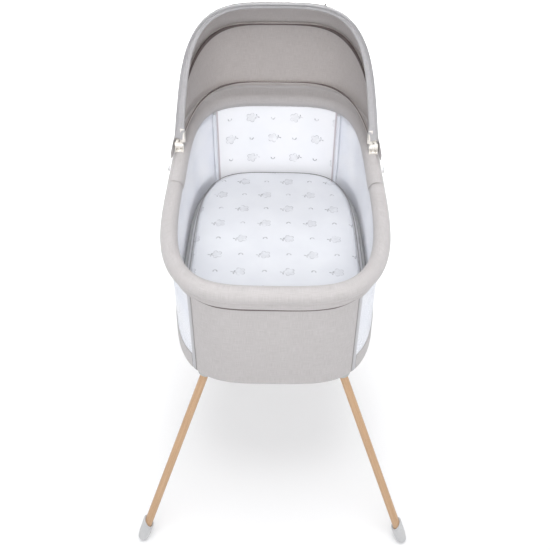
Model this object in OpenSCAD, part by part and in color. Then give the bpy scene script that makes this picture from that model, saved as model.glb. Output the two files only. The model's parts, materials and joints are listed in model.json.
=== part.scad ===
// Bassinet with a folding canopy on a splayed four-leg stand.
// Millimetres, +Z up, +Y towards the head end, origin on the floor under the middle.

/* [Basket] */
// Length of the rim loop, tube middle to tube middle
rim_len = 934; // [780:2:1120]
// Width of the rim loop, tube middle to tube middle
rim_wid = 554; // [460:2:665]
// Squareness of the basket outline, where 2 is an ellipse
rim_square = 3.7; // [3.2:0.1:4.4]
// Height of the rim tube above the floor
rim_z = 780; // [650:5:936]
// Depth from the rim tube down to the underside of the base
basket_depth = 312; // [260:2:374]
// Half width of the fabric panel at each end, to its bindings
panel_half = 205; // [171:1:215]

/* [Rim] */
// Diameter of the rim tube
rim_tube_d = 16; // [13:0.5:19]
// Wall of the rim and base tubes
tube_wall = 1.5; // [1:0.1:2]
// Thickness of the foam sleeve round the rim tube
foam_t = 13.5; // [11:0.5:16]
// Thickness of the fabric skins
skin = 1.2; // [1:0.1:1.5]
// Half angle of the slit under the foam sleeve
slit_half = 55; // [50:1:58]

/* [Mattress] */
// Thickness of the mattress core
mattress_t = 31; // [26:1:37]
// Gap from the rim tube's middle in to the side of the mattress core
mattress_inset = 29; // [28:0.5:36]

/* [Canopy] */
// Hinge axis, forwards of the rim loop's head end
hinge_from_head = 347; // [330:1:380]
// Hinge axis above the rim tube's middle
hinge_rise = 38; // [37:0.5:44]
// Lean of the front bow back from upright, canopy open
front_lean = 10; // [6:1:14]
// Lean of the middle bow back from upright, canopy open
mid_lean = 49; // [45:1:53]
// Lean of the rear bow back from upright
rear_lean = 87; // [86:1:88]
// Height of the canopy fabric above the hinge along the front bow
front_reach = 392; // [330:1:460]
// Height of the canopy fabric above the hinge along the middle bow
mid_reach = 375; // [320:1:440]
// Diameter of the canopy bows
bow_d = 9; // [7.5:0.5:10]
// Width of the light band along the canopy's front edge
edge_w = 17; // [12:1:20]

/* [Stand] */
// Diameter of the wooden legs
leg_d = 22; // [18:0.5:26]
// Inset of each leg's top from the side of the rim loop
leg_in_x = 99; // [94:1:125]
// Inset of each leg's top from the end of the rim loop
leg_in_y = 63; // [59:1:100]
// Spread of each leg sideways, from its top to its foot
leg_spread_x = 184; // [140:1:220]
// Spread of each leg lengthways, from its top to its foot
leg_spread_y = 232; // [190:1:270]
// Length of the soft shoe on each foot
shoe_len = 62; // [52:1:74]
// Width of the stand's rails
rail_w = 24; // [20:1:28]
// Height of the stand's rails
rail_h = 18; // [15:1:20]

/* [Hidden] */
$fn = 48;
// Running gap between pieces that only touch
gap = 0.3;
// Steps round the outline
turns = 72;
turn = 360 / turns;

// Basket levels and radii
base_z = rim_z - basket_depth;
tube_r = rim_tube_d / 2;
foam_r = tube_r + gap + foam_t;
roll_r = foam_r + gap + skin;
hinge_y = rim_len / 2 - hinge_from_head;
hinge_z = rim_z + hinge_rise;
frame_d = 12;
frame_in = 7.5;
frame_z = base_z + 2 + gap + frame_d / 2;
upright_d = 10;
board_t = 5;
board_z = frame_z + frame_d / 2 + gap;
mattress_z = board_z + board_t + gap + skin + gap;
mattress_top = mattress_z + mattress_t + gap + skin;

// The walls stop under the roll, and two hems hide the joint
wall_top = rim_z - roll_r - 1;
hem_h = 12;
hem_gap = 2;
band_h = 55;
bind_w = 11;

// Canopy apron over the head half of the rim roll
apron_r = roll_r + gap + skin;
apron_front_y = hinge_y - 160;
skirt_front_y = hinge_y - 60;
skirt_low = 17.5;
skirt_high = 50;
skirt_in = 17.4;

// Canopy arches: [half width, height, taper, side power, top power]
front_cloth = [rim_wid / 2 + 13.5, front_reach, 0.178, 3.55, 4.75];
mid_cloth = [rim_wid / 2 + 13.5, mid_reach, 0.07, 3.9, 2.95];
rear_reach = hinge_from_head + 11;
rear_cloth = [rim_wid / 2 + 11.5, rear_reach, 0.07, 4.2, 2.45];
front_bow_x = rim_wid / 2 - 6;
mid_bow_x = rim_wid / 2 + 6.5;
rear_bow_x = rim_wid / 2 - 2.5;
rear_low = 60;
front_arch = [front_bow_x, front_reach - 7, 0.15, 3.55, 4.75];
mid_arch = [mid_bow_x, mid_reach - 6, 0.07, 3.9, 2.95];
rear_arch = [rear_bow_x, rear_reach - 6, 0.07, 4.2, 2.45];
arch_n = 22;
cloth_low = 15;
bow_low = 37;

// Canopy hinge stack along X, measured from the middle of the rim tube
knuckle_w = 6.6;
knuckle_r = 9.5;
pin_r = 2.5;
saddle_in = apron_r + gap;
saddle_t = 2.3;

// Stand
rail_z = base_z - 2 - gap - rail_h - 0.2;
mount_r = rail_w / 2 + 12;
rail_wall = 1.5;
leg_r = leg_d / 2;
shoe_r = leg_r + 5.5;
tip_r = leg_r + 3;
pad_cut = 1.5;
foot_z = tip_r - pad_cut;
leg_top_x = rim_wid / 2 - leg_in_x;
leg_top_y = rim_len / 2 - leg_in_y;
foot_x = leg_top_x + leg_spread_x;
foot_y = leg_top_y + leg_spread_y;
leg_dz = rail_z + rail_h / 2 - foot_z;
leg_tilt = atan(norm([leg_spread_x, leg_spread_y]) / leg_dz);
lip_slope = 32;
bolt_d = 8;
clip_y = leg_top_y - 144;
clip_len = 40;
clip_t = 2;

// Colours
cloth_grey = [0.80, 0.785, 0.775];
inner_grey = [0.69, 0.665, 0.65];
trim_grey = [0.72, 0.71, 0.715];
cotton_white = [0.95, 0.955, 0.97];
net_white = [0.90, 0.92, 0.95];
cream = [0.89, 0.87, 0.84];
beech = [0.83, 0.67, 0.48];
shoe_grey = [0.79, 0.79, 0.79];
steel = [0.62, 0.63, 0.65];
foam_white = [0.93, 0.92, 0.88];
board_brown = [0.70, 0.58, 0.42];

// ---- outline of the basket -------------------------------------------------

function signed_pow(v, p) = sign(v) * pow(abs(v), p);

// Point of the outline at angle t, moved outwards by d
function outline(t, d = 0) =
    let (p = 2 / rim_square,
         x = rim_wid / 2 * signed_pow(cos(t), p),
         y = rim_len / 2 * signed_pow(sin(t), p),
         nx = signed_pow(cos(t), 2 - p) / rim_wid,
         ny = signed_pow(sin(t), 2 - p) / rim_len,
         m = norm([nx, ny]))
    [x + d * nx / m, y + d * ny / m];

// Angle at which the outline passes a given x, or a given y, in its first quarter
function t_at_x(x) = acos(pow(x / (rim_wid / 2), rim_square / 2));
function t_at_y(y) = sign(y) * asin(pow(abs(y) / (rim_len / 2), rim_square / 2));

t_panel = t_at_x(panel_half);

// Angles from t0 to t1, on the same steps for every piece, so that nested pieces stay parallel
function arc_t(t0, t1) =
    concat([t0], [for (k = [ceil((t0 + 0.3) / turn):floor((t1 - 0.3) / turn)]) k * turn], [t1]);

// Flat plate that fills the outline
module plate(d, h) {
    linear_extrude(h) polygon([for (i = [0:turns - 1]) outline(i * turn, d)]);
}

// Upright strip of wall that follows the outline
module wall_strip(t0, t1, d_in, d_out, z0, z1) {
    ts = arc_t(t0, t1);
    n = len(ts) - 1;
    translate([0, 0, z0])
        linear_extrude(z1 - z0)
            polygon(concat([for (t = ts) outline(t, d_out)],
                [for (i = [0:n]) outline(ts[n - i], d_in)]));
}

// Closed hoop of wall
module wall_hoop(d_in, d_out, z0, z1) {
    translate([0, 0, z0]) difference() {
        plate(d_out, z1 - z0);
        translate([0, 0, -1]) plate(d_in, z1 - z0 + 2);
    }
}

// ---- skins through rings of points -------------------------------------------

// Solid through a list of rings, each with the same number of points
module skin_rings(rings, closed = false) {
    n = len(rings);
    m = len(rings[0]);
    last = closed ? n - 1 : n - 2;
    sides = [for (i = [0:last], j = [0:m - 1])
        let (a = i * m + j,
             b = i * m + (j + 1) % m,
             c = ((i + 1) % n) * m + (j + 1) % m,
             d = ((i + 1) % n) * m + j)
        each [[a, b, c], [a, c, d]]];
    e = (n - 1) * m;
    caps = closed ? [] : [for (j = [0:m / 2 - 2])
        let (k = m - 1 - j)
        each [[k, j + 1, j], [k, k - 1, j + 1], [e + j, e + j + 1, e + k], [e + j + 1, e + k - 1, e + k]]];
    polyhedron(points = [for (r = rings) each r], faces = concat(sides, caps), convexity = 8);
}

// Hollow pipe through two lists of rings
module skin_pipe(outer, inner) {
    n = len(outer);
    m = len(outer[0]);
    k = n * m;
    sides = [for (i = [0:n - 2], j = [0:m - 1])
        let (a = i * m + j,
             b = i * m + (j + 1) % m,
             c = (i + 1) * m + (j + 1) % m,
             d = (i + 1) * m + j)
        each [[a, b, c], [a, c, d], [k + a, k + c, k + b], [k + a, k + d, k + c]]];
    e = (n - 1) * m;
    ends = [for (j = [0:m - 1])
        let (q = (j + 1) % m)
        each [[j, k + j, k + q], [j, k + q, q],
              [e + j, e + q, k + e + q], [e + j, k + e + q, k + e + j]]];
    polyhedron(points = concat([for (r = outer) each r], [for (r = inner) each r]),
        faces = concat(sides, ends), convexity = 8);
}

// Ring of a round section at angle t of the outline
function round_ring(t, r, d, z, m = 12) =
    [for (j = [0:m - 1]) let (o = outline(t, d + r * cos(360 * j / m)))
        [o[0], o[1], z + r * sin(360 * j / m)]];

// Ring of an open sleeve round the rim, outer face then inner face.
// Its flats run from number n0 to n1 of the 10 flats of a whole sleeve.
function sleeve_ring(t, r0, r1, n0, n1) =
    [for (s = [0:2 * (n1 - n0) + 1])
        let (out = s <= n1 - n0,
             k = out ? n0 + s : n1 - (s - (n1 - n0) - 1),
             q = slit_half - 90 + (360 - 2 * slit_half) * k / 10,
             r = out ? r1 : r0,
             o = outline(t, r * cos(q)))
        [o[0], o[1], rim_z + r * sin(q)]];

module tube_run(t0, t1, r, d, z) {
    ts = arc_t(t0, t1);
    skin_pipe([for (t = ts) round_ring(t, r, d, z)],
        [for (t = ts) round_ring(t, r - tube_wall, d, z)]);
}

module sleeve_loop(r0, r1) {
    skin_rings([for (i = [0:turns - 1]) sleeve_ring(i * turn, r0, r1, 0, 10)], closed = true);
}

// ---- canopy arches -----------------------------------------------------------

// Half width of an arch at height h above the hinge
function arch_x(a, h) = a[0] * (1 - a[2] * h / a[1]) * pow(max(0, 1 - pow(h / a[1], a[4])), 1 / a[3]);

// Points [x, h] over an arch, from one side to the other
function arch_pts(a, low) = [for (i = [-arch_n:arch_n])
    let (h = max(low, 0) + (a[1] - low) * cos(90 * i / arch_n))
    [sign(i) * arch_x(a, h), h]];

// Place a point of a leaning arch in space
function lean_pt(p, lean) = [p[0], hinge_y + p[1] * sin(lean), hinge_z + p[1] * cos(lean)];

module bow_tube(a, lean, low, r) {
    pts = arch_pts(a, low);
    n = len(pts);
    rings = [for (i = [0:n - 1])
        let (t = pts[min(i + 1, n - 1)] - pts[max(i - 1, 0)],
             u = [t[1], -t[0]] / norm(t),
             c = lean_pt(pts[i], lean))
        [for (j = [0:7])
            let (q = 360 * j / 8)
            c + r * cos(q) * [u[0], u[1] * sin(lean), u[1] * cos(lean)]
              - r * sin(q) * [0, cos(lean), -sin(lean)]]];
    skin_rings(rings);
}

function mix(a, b, k) = a * (1 - k) + b * k;

// Ring round a cloth arch: outer face one way, inner face back
function cloth_ring(a, lean, low, t) =
    let (o = arch_pts([a[0] + t, a[1] + t, a[2], a[3], a[4]], low),
         i = arch_pts(a, low),
         n = len(i) - 1)
    concat([for (p = o) lean_pt(p, lean)], [for (k = [0:n]) lean_pt(i[n - k], lean)]);

module cloth_panel(a, b, lean_a, lean_b, low, t, n = 5) {
    skin_rings([for (k = [0:n])
        cloth_ring(mix(a, b, k / n), mix(lean_a, lean_b, k / n), low, t)]);
}

// ---- stand -------------------------------------------------------------------

// Mirror children from the front right corner to another one
module corner(sx, sy) {
    mirror([sx < 0 ? 1 : 0, 0, 0]) mirror([0, sy > 0 ? 1 : 0, 0]) children();
}

// Put children on the front right leg's axis, from the middle of its round foot, +Z up the leg
module on_leg() {
    translate([foot_x, -foot_y, foot_z])
        rotate([0, leg_tilt, atan2(leg_spread_y, -leg_spread_x)])
            children();
}

// Distance up the leg's axis at which a round of radius r just stays under level z
function reach(z, r) = (z - foot_z - r * sin(leg_tilt)) / cos(leg_tilt);

leg_end = reach(rail_z - gap, leg_r);
bolt_end = reach(rail_z + rail_h - 1, bolt_d / 2);
bolt_start = leg_end - 50;

module leg(sx, sy) {
    color(beech) corner(sx, sy) on_leg() difference() {
        translate([0, 0, 20]) cylinder(r = leg_r, h = leg_end - 20);
        translate([0, 0, bolt_start - 1]) cylinder(d = bolt_d + 0.6, h = 100, $fn = 12);
    }
}

module shoe(sx, sy) {
    tip = [for (i = [0:8]) tip_r * [sin(i * 9), -cos(i * 9)]];
    color(shoe_grey) corner(sx, sy) difference() {
        on_leg() difference() {
            rotate_extrude() polygon(concat(tip,
                [[shoe_r - 1, 14], [shoe_r, 34], [shoe_r, shoe_len + 20], [0, shoe_len + 20]]));
            translate([0, 0, 20 - gap]) cylinder(r = leg_r + 0.1, h = shoe_len + 20);
            translate([0, 0, shoe_len - tip_r])
                rotate([-lip_slope, 0, 0])
                    translate([-40, -40, 0]) cube([80, 80, 80]);
        }
        translate([foot_x - 50, -foot_y - 50, -60]) cube([100, 100, 60]);
    }
}

module leg_mounts() {
    w = rail_w - 2 * rail_wall - 2 * gap;
    h = rail_h - 2 * rail_wall - 2 * gap;
    color(shoe_grey) for (sx = [-1, 1], sy = [-1, 1]) corner(sx, sy) difference() {
        translate([leg_top_x, -leg_top_y, rail_z]) {
            cylinder(r = mount_r, h = rail_h);
            // spigots that carry the rail and the crossbar
            translate([-w / 2, 0, rail_wall + gap]) cube([w, mount_r + 25, h]);
            translate([-mount_r - 25, -w / 2, rail_wall + gap]) cube([mount_r + 25, w, h]);
        }
        on_leg() translate([0, 0, leg_end - 20]) cylinder(d = bolt_d + 0.6, h = 80, $fn = 12);
    }
}

module leg_bolts() {
    color(steel) for (sx = [-1, 1], sy = [-1, 1]) corner(sx, sy)
        on_leg() translate([0, 0, bolt_start]) cylinder(d = bolt_d, h = bolt_end - bolt_start);
}

module box_tube(size_x, size_y, along_x) {
    w = rail_wall;
    difference() {
        translate([-size_x / 2, -size_y / 2, 0]) cube([size_x, size_y, rail_h]);
        if (along_x)
            translate([-size_x, -size_y / 2 + w, w]) cube([2 * size_x, size_y - 2 * w, rail_h - 2 * w]);
        else
            translate([-size_x / 2 + w, -size_y, w]) cube([size_x - 2 * w, 2 * size_y, rail_h - 2 * w]);
    }
}

module stand_crossbar(sy) {
    color(steel) translate([0, sy * leg_top_y, rail_z])
        box_tube(2 * (leg_top_x - mount_r - gap), rail_w, true);
}

module stand_rail(sx) {
    color(steel) translate([sx * leg_top_x, 0, rail_z])
        box_tube(rail_w, 2 * (leg_top_y - mount_r - gap), false);
}

// ---- basket frame ------------------------------------------------------------

module rim_tube(side) {
    t = side < 0 ? 90 : -90;
    color(steel) tube_run(t + 0.12, t + 179.88, tube_r, 0, rim_z);
}

module rim_couplers() {
    r = tube_r - tube_wall - 2 * gap;
    color(steel) for (s = [-1, 1])
        skin_rings([for (t = [-turn, 0, turn]) round_ring(90 * s + t, r, 0, rim_z)]);
}

module rim_foam() {
    color(foam_white) sleeve_loop(tube_r + gap, foam_r);
}

module rim_cover() {
    color(cloth_grey) sleeve_loop(foam_r + gap, roll_r);
}

module rim_hem() {
    color(cloth_grey) wall_hoop(1.8, 1.8 + skin, wall_top - hem_h + 3, wall_top + 0.5);
}

module wall_hem() {
    z = wall_top - hem_h + 3 - hem_gap;
    color(trim_grey) wall_hoop(1.8, 1.8 + skin, z - hem_h, z);
}

function corner_t() = [t_panel, 180 - t_panel, 180 + t_panel, 360 - t_panel];

module at_uprights(z) {
    for (t = corner_t()) {
        o = outline(t, -frame_in);
        translate([o[0], o[1], z]) children();
    }
}

module uprights() {
    z0 = frame_z + frame_d / 2 + 0.2;
    z1 = rim_z - tube_r - gap - 1;
    color(steel) at_uprights(z0) difference() {
        cylinder(d = upright_d, h = z1 - z0);
        translate([0, 0, -1]) cylinder(d = upright_d - 2 * tube_wall, h = z1 - z0 + 2);
    }
}

module upright_sleeves() {
    z0 = mattress_z;
    z1 = wall_top - 3;
    color(trim_grey) at_uprights(z0) difference() {
        cylinder(d = upright_d + 2 * gap + 2 * skin, h = z1 - z0);
        translate([0, 0, -1]) cylinder(d = upright_d + 2 * gap, h = z1 - z0 + 2);
    }
}

module base_frame() {
    r = frame_d / 2;
    color(steel) skin_rings([for (i = [0:turns - 1]) round_ring(i * turn, r, -frame_in, frame_z, 10)], closed = true);
}

module base_crossbars() {
    y = clip_y - 60;
    x = outline(t_at_y(y), -frame_in - frame_d / 2 - 0.5)[0];
    color(steel) for (s = [-1, 1])
        translate([-x, s * y, frame_z])
            rotate([0, 90, 0]) difference() {
                cylinder(d = frame_d, h = 2 * x);
                translate([0, 0, -1]) cylinder(d = frame_d - 2 * tube_wall, h = 2 * x + 2);
            }
}

module base_board() {
    color(board_brown) translate([0, 0, board_z]) plate(-frame_in - upright_d / 2 - 1.5, board_t);
}

// ---- basket cloth ------------------------------------------------------------

module bottom_fabric() {
    color(cloth_grey) translate([0, 0, base_z]) plate(skin, 2);
}

module end_panel(mid_t) {
    half = 90 - t_panel - 0.05;
    color(cloth_grey) wall_strip(mid_t - half, mid_t + half, 0, skin, base_z + 2 + gap, wall_top);
}

module side_mesh(mid_t) {
    half = t_panel - 0.05;
    color(net_white) wall_strip(mid_t - half, mid_t + half, 0, skin, base_z + 2 + gap, wall_top);
}

// Two upright bindings over the joints between an end panel and the side meshes
module end_bindings(mid_t) {
    t1 = t_at_x(panel_half - bind_w / 2);
    t0 = t_at_x(min(panel_half + bind_w / 2, rim_wid / 2 - 10));
    z1 = wall_top - 2 * hem_h + 3 - hem_gap - 0.5;
    color(trim_grey) for (t = mid_t < 180 ? [t0, 180 - t1] : [180 + t0, 360 - t1])
        wall_strip(t, t + t1 - t0, skin + gap, 2 * skin + gap, base_z + 2, z1);
}

module lower_band(mid_t) {
    half = t_at_x(min(panel_half + bind_w / 2, rim_wid / 2 - 10)) - 0.2;
    color(trim_grey) wall_strip(mid_t - half, mid_t + half, skin + gap, 2 * skin + gap,
        base_z + 2, base_z + band_h);
}

module end_lining(mid_t) {
    half = 90 - t_at_x(panel_half - upright_d / 2 - 4);
    color(cotton_white) wall_strip(mid_t - half, mid_t + half, -gap - skin, -gap, mattress_z, wall_top);
}

module saddle_clips() {
    side = rail_w / 2 + 0.5;
    color(shoe_grey) for (sx = [-1, 1], sy = [-1, 1])
        translate([sx * leg_top_x, sy * clip_y - clip_len / 2, base_z - gap - clip_t]) {
            translate([-side - clip_t, 0, 0]) cube([2 * (side + clip_t), clip_len, clip_t]);
            for (s = [-1, 1])
                translate([s > 0 ? side : -side - clip_t, 0, -12]) cube([clip_t, clip_len, 12 + clip_t / 2]);
        }
}

module clip_screws() {
    color(steel) for (sx = [-1, 1], sy = [-1, 1])
        translate([sx * leg_top_x, sy * clip_y, base_z - gap - clip_t + 0.4])
            cylinder(d = 4, h = board_z + board_t - 1 - (base_z - gap - clip_t + 0.4));
}

// ---- mattress ----------------------------------------------------------------

module mattress_core() {
    color(foam_white) translate([0, 0, mattress_z]) plate(-mattress_inset, mattress_t);
}

module fitted_sheet() {
    under = 24;
    d = -mattress_inset + gap + skin;
    color(cotton_white) translate([0, 0, mattress_z - gap - skin]) difference() {
        plate(d, mattress_t + 2 * gap + 2 * skin);
        translate([0, 0, skin]) plate(-mattress_inset + gap, mattress_t + 2 * gap);
        translate([0, 0, -1]) plate(-mattress_inset - under, skin + 2);
    }
}

// ---- canopy fixed to the basket ------------------------------------------------

module canopy_bracket(s) {
    x0 = front_bow_x - rim_wid / 2;
    x1 = mid_bow_x - rim_wid / 2;
    w = knuckle_w / 2 + gap;
    ear = 2.6;
    rise = hinge_rise;
    color(cream) translate([s * rim_wid / 2, hinge_y, rim_z]) mirror([s < 0 ? 1 : 0, 0, 0]) {
        difference() {
            union() {
                for (e = [[x0 - w - ear, ear], [x0 + w, x1 - x0 - 2 * w], [x1 + w, ear]]) {
                    translate([e[0], 0, rise]) rotate([0, 90, 0]) cylinder(r = knuckle_r, h = e[1]);
                    translate([e[0], -knuckle_r, 12]) cube([e[1], 2 * knuckle_r, rise - 12]);
                }
                // saddle that sits on the padded rim
                rotate([90, 0, 0]) translate([0, 0, -16]) intersection() {
                    cylinder(r = saddle_in + saddle_t, h = 32);
                    translate([x0 - w - ear, 12, -1]) cube([x1 - x0 + 2 * w + 2 * ear, 40, 34]);
                }
            }
            rotate([90, 0, 0]) translate([0, 0, -20]) cylinder(r = saddle_in, h = 40);
            translate([x0 - 50, 0, rise]) rotate([0, 90, 0]) cylinder(r = pin_r + 0.05, h = 100);
        }
    }
}

module hinge_pins() {
    x0 = front_bow_x - knuckle_w / 2 - gap - 3.4;
    x1 = mid_bow_x + knuckle_w / 2 + gap + 2.9;
    color(steel) for (s = [-1, 1]) mirror([s < 0 ? 1 : 0, 0, 0])
        translate([x0, hinge_y, hinge_z]) rotate([0, 90, 0]) {
            cylinder(r = pin_r, h = x1 - x0);
            cylinder(r = 5, h = 0.7);
        }
}

module hinge_screws() {
    color(steel) for (s = [-1, 1], dy = [-13, 13])
        translate([s * rim_wid / 2, hinge_y + dy, rim_z + 5])
            cylinder(d = 3.5, h = saddle_in + saddle_t - 6);
}

module canopy_rear_bow() {
    color(steel) bow_tube(rear_arch, rear_lean, rear_low, 4);
}

module canopy_skirt() {
    t = t_at_y(skirt_front_y);
    color(cloth_grey) wall_strip(t, 180 - t, skirt_in, skirt_in + skin, rim_z + skirt_low, rim_z + skirt_high);
}

module canopy_apron() {
    t = t_at_y(apron_front_y);
    ts = arc_t(t, 180 - t);
    color(cloth_grey) skin_rings([for (a = ts) sleeve_ring(a, roll_r + gap, apron_r, 4, 9)]);
}

module loop_buttons() {
    x = outline(t_at_y(skirt_front_y - 8), roll_r + gap)[0];
    color(cream) for (s = [-1, 1])
        translate([s * x, skirt_front_y - 8, rim_z]) rotate([0, s * 90, 0]) {
            cylinder(r = 2.4, h = 3.6);
            translate([0, 0, 2.8]) cylinder(r = 4.5, h = 1.6);
        }
}

module corner_loops() {
    x = outline(t_at_y(skirt_front_y - 8), roll_r + gap + 1.5)[0];
    color(cloth_grey) for (s = [-1, 1])
        translate([s * x, skirt_front_y - 8, rim_z + 5]) rotate([0, 90, 0])
            rotate_extrude() translate([8.6, 0]) circle(r = 0.9);
}

// ---- moving bows and cloth -----------------------------------------------------

// End fitting of a bow: a knuckle on the hinge pin and a socket for the bow
module bow_end(s, a, lean, r) {
    x = a[0];
    lead_in = arch_x(a, bow_low + 7) - x;
    color(cream) translate([s * x, hinge_y, hinge_z]) rotate([-lean, 0, 0]) difference() {
        union() {
            translate([-knuckle_w / 2, 0, 0]) rotate([0, 90, 0]) cylinder(r = knuckle_r, h = knuckle_w);
            translate([-knuckle_w / 2, -6, 0]) cube([knuckle_w, 12, 13]);
            translate([s * lead_in, 0, 11]) cylinder(r = r, h = bow_low);
            translate([s * lead_in, 0, bow_low + 11]) cylinder(r1 = r, r2 = r - 0.6, h = 3);
        }
        translate([-20, 0, 0]) rotate([0, 90, 0]) cylinder(r = pin_r + 0.05, h = 40);
        translate([s * lead_in, 0, bow_low - 1]) cylinder(r = bow_d / 2 + 0.9, h = 60);
    }
}

module mid_bow_ends() {
    for (s = [-1, 1]) bow_end(s, mid_arch, mid_lean, 6.1);
}

module front_bow_end(s) {
    bow_end(s, front_arch, front_lean, 8);
}

module canopy_mid_bow() {
    color(steel) bow_tube(mid_arch, mid_lean, bow_low, bow_d / 2);
}

module canopy_front_bow() {
    color(steel) bow_tube(front_arch, front_lean, bow_low, bow_d / 2);
}

module canopy_rear_panel() {
    color(inner_grey) cloth_panel(mid_cloth, rear_cloth, mid_lean + 0.3, rear_lean, cloth_low, skin);
}

module canopy_front_panel() {
    color(inner_grey) cloth_panel(front_cloth, mid_cloth, front_lean, mid_lean - 0.3, cloth_low, skin);
}

module canopy_edge_binding() {
    turn = asin(edge_w / front_reach);
    color(cloth_grey) cloth_panel(front_cloth, front_cloth, front_lean - turn, front_lean - 0.2,
        cloth_low, skin + 0.5, 1);
}

module zip_pull() {
    h = 0.98 * front_reach;
    lean = front_lean + 3;
    color(steel) translate(lean_pt([arch_x(front_cloth, h), h], lean)) rotate([-lean, 0, 0])
        rotate([0, 20, 0]) translate([-3, -6, 4.5]) cube([6, 12, 2]);
}

leg(-1, -1);  // leg_front_left
leg(1, -1);  // leg_front_right
leg(-1, 1);  // leg_rear_left
leg(1, 1);  // leg_rear_right
shoe(-1, -1);  // shoe_front_left
shoe(1, -1);  // shoe_front_right
shoe(-1, 1);  // shoe_rear_left
shoe(1, 1);  // shoe_rear_right
leg_mounts();
leg_bolts();
stand_crossbar(-1);  // stand_crossbar_front
stand_crossbar(1);  // stand_crossbar_rear
stand_rail(-1);  // stand_rail_left
stand_rail(1);  // stand_rail_right
rim_tube(-1);  // rim_tube_left
rim_tube(1);  // rim_tube_right
rim_couplers();
rim_foam();
rim_cover();
rim_hem();
wall_hem();
uprights();
upright_sleeves();
base_frame();
base_crossbars();
base_board();
bottom_fabric();
end_panel(270);  // panel_foot
end_panel(90);  // panel_head
side_mesh(180);  // mesh_left
side_mesh(0);  // mesh_right
end_bindings(270);  // bindings_foot
end_bindings(90);  // bindings_head
lower_band(180);  // lower_band_left
lower_band(0);  // lower_band_right
end_lining(270);  // lining_foot
end_lining(90);  // lining_head
saddle_clips();
clip_screws();
mattress_core();
fitted_sheet();
canopy_bracket(-1);  // canopy_bracket_left
canopy_bracket(1);  // canopy_bracket_right
hinge_pins();
hinge_screws();
canopy_rear_bow();
canopy_skirt();
canopy_apron();
loop_buttons();
corner_loops();
canopy_mid_bow();
mid_bow_ends();
canopy_rear_panel();
canopy_front_bow();
front_bow_end(-1);  // front_bow_end_left
front_bow_end(1);  // front_bow_end_right
canopy_front_panel();
canopy_edge_binding();
zip_pull();
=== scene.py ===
"""Bassinet with a folding canopy on a wooden stand: cloth, padding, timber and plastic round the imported
frame.

All lengths are in metres. Places come from the frame's own boxes; MM turns millimetres into metres.
"""
import json
import math

import bmesh
import bpy
import numpy as np
from mathutils import Matrix, Vector, noise


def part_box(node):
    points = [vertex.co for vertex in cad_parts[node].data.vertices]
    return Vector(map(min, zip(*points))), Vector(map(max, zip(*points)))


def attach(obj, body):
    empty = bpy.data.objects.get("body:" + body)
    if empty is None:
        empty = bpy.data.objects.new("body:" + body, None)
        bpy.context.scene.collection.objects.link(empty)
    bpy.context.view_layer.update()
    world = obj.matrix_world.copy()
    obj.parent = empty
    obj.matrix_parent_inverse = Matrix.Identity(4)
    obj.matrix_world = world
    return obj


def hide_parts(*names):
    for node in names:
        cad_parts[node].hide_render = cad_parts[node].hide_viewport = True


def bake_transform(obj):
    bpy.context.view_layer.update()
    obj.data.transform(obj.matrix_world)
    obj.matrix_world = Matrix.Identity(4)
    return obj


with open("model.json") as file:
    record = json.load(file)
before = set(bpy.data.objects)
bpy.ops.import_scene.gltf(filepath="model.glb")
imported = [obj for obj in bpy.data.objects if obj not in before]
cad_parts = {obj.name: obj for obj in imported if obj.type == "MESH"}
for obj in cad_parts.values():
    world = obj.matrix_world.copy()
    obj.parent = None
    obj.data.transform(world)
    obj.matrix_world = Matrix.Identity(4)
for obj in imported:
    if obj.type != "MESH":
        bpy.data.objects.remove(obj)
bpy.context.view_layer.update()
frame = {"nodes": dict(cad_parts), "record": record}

MM = 0.001


# ---- sizes read from the frame ------------------------------------------------


def box(node):
    low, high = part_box(node)
    return np.array(low, float), np.array(high, float)


cover_high = box("rim_cover")[1]
tube_low, tube_high = box("rim_tube_right")
RIM_Z = (tube_low[2] + tube_high[2]) / 2
ROLL_R = cover_high[2] - RIM_Z
HALF_W = cover_high[0] - ROLL_R
HALF_L = cover_high[1] - ROLL_R
SQUARE = 3.7
BASE_Z = box("bottom_fabric")[0][2]
WALL_TOP = box("panel_foot")[1][2]
PANEL_HALF = box("panel_foot")[1][0]
BAND_TOP = box("lower_band_left")[1][2]
sheet_low, sheet_high = box("fitted_sheet")
pin_low, pin_high = box("hinge_pins")
HINGE_Y = (pin_low[1] + pin_high[1]) / 2
HINGE_Z = (pin_low[2] + pin_high[2]) / 2
skirt_low, skirt_high = box("canopy_skirt")
apron_low = box("canopy_apron")[0]

# Canopy arches: lean back in degrees, half width, height, taper, side power, top power
FRONT_CLOTH = (10.0, 0.2905, 0.392, 0.178, 3.55, 4.75)
MID_CLOTH = (49.0, 0.2905, 0.375, 0.07, 3.9, 2.95)
REAR_CLOTH = (87.0, 0.2885, 0.358, 0.07, 4.2, 2.45)
FRONT_BOW = (10.0, 0.271, 0.385, 0.15, 3.55, 4.75)
MID_BOW = (49.0, 0.2835, 0.369, 0.07, 3.9, 2.95)
REAR_BOW = (87.0, 0.2745, 0.352, 0.07, 4.2, 2.45)


# ---- colours and shader nodes --------------------------------------------------


def srgb(code):
    """Linear colour of an sRGB hex code."""
    parts = [int(code[i : i + 2], 16) / 255 for i in (1, 3, 5)]
    return tuple(c / 12.92 if c <= 0.04045 else ((c + 0.055) / 1.055) ** 2.4 for c in parts) + (1.0,)


def add(tree, kind, links=(), **settings):
    """Add one shader node, set its fields or inputs, and link (input, from socket) pairs into it."""
    made = tree.nodes.new(kind)
    for key, value in settings.items():
        if hasattr(made, key):
            setattr(made, key, value)
        else:
            made.inputs[key.replace("_", " ")].default_value = value
    for name, source in links:
        tree.links.new(source, made.inputs[name])
    return made


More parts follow.
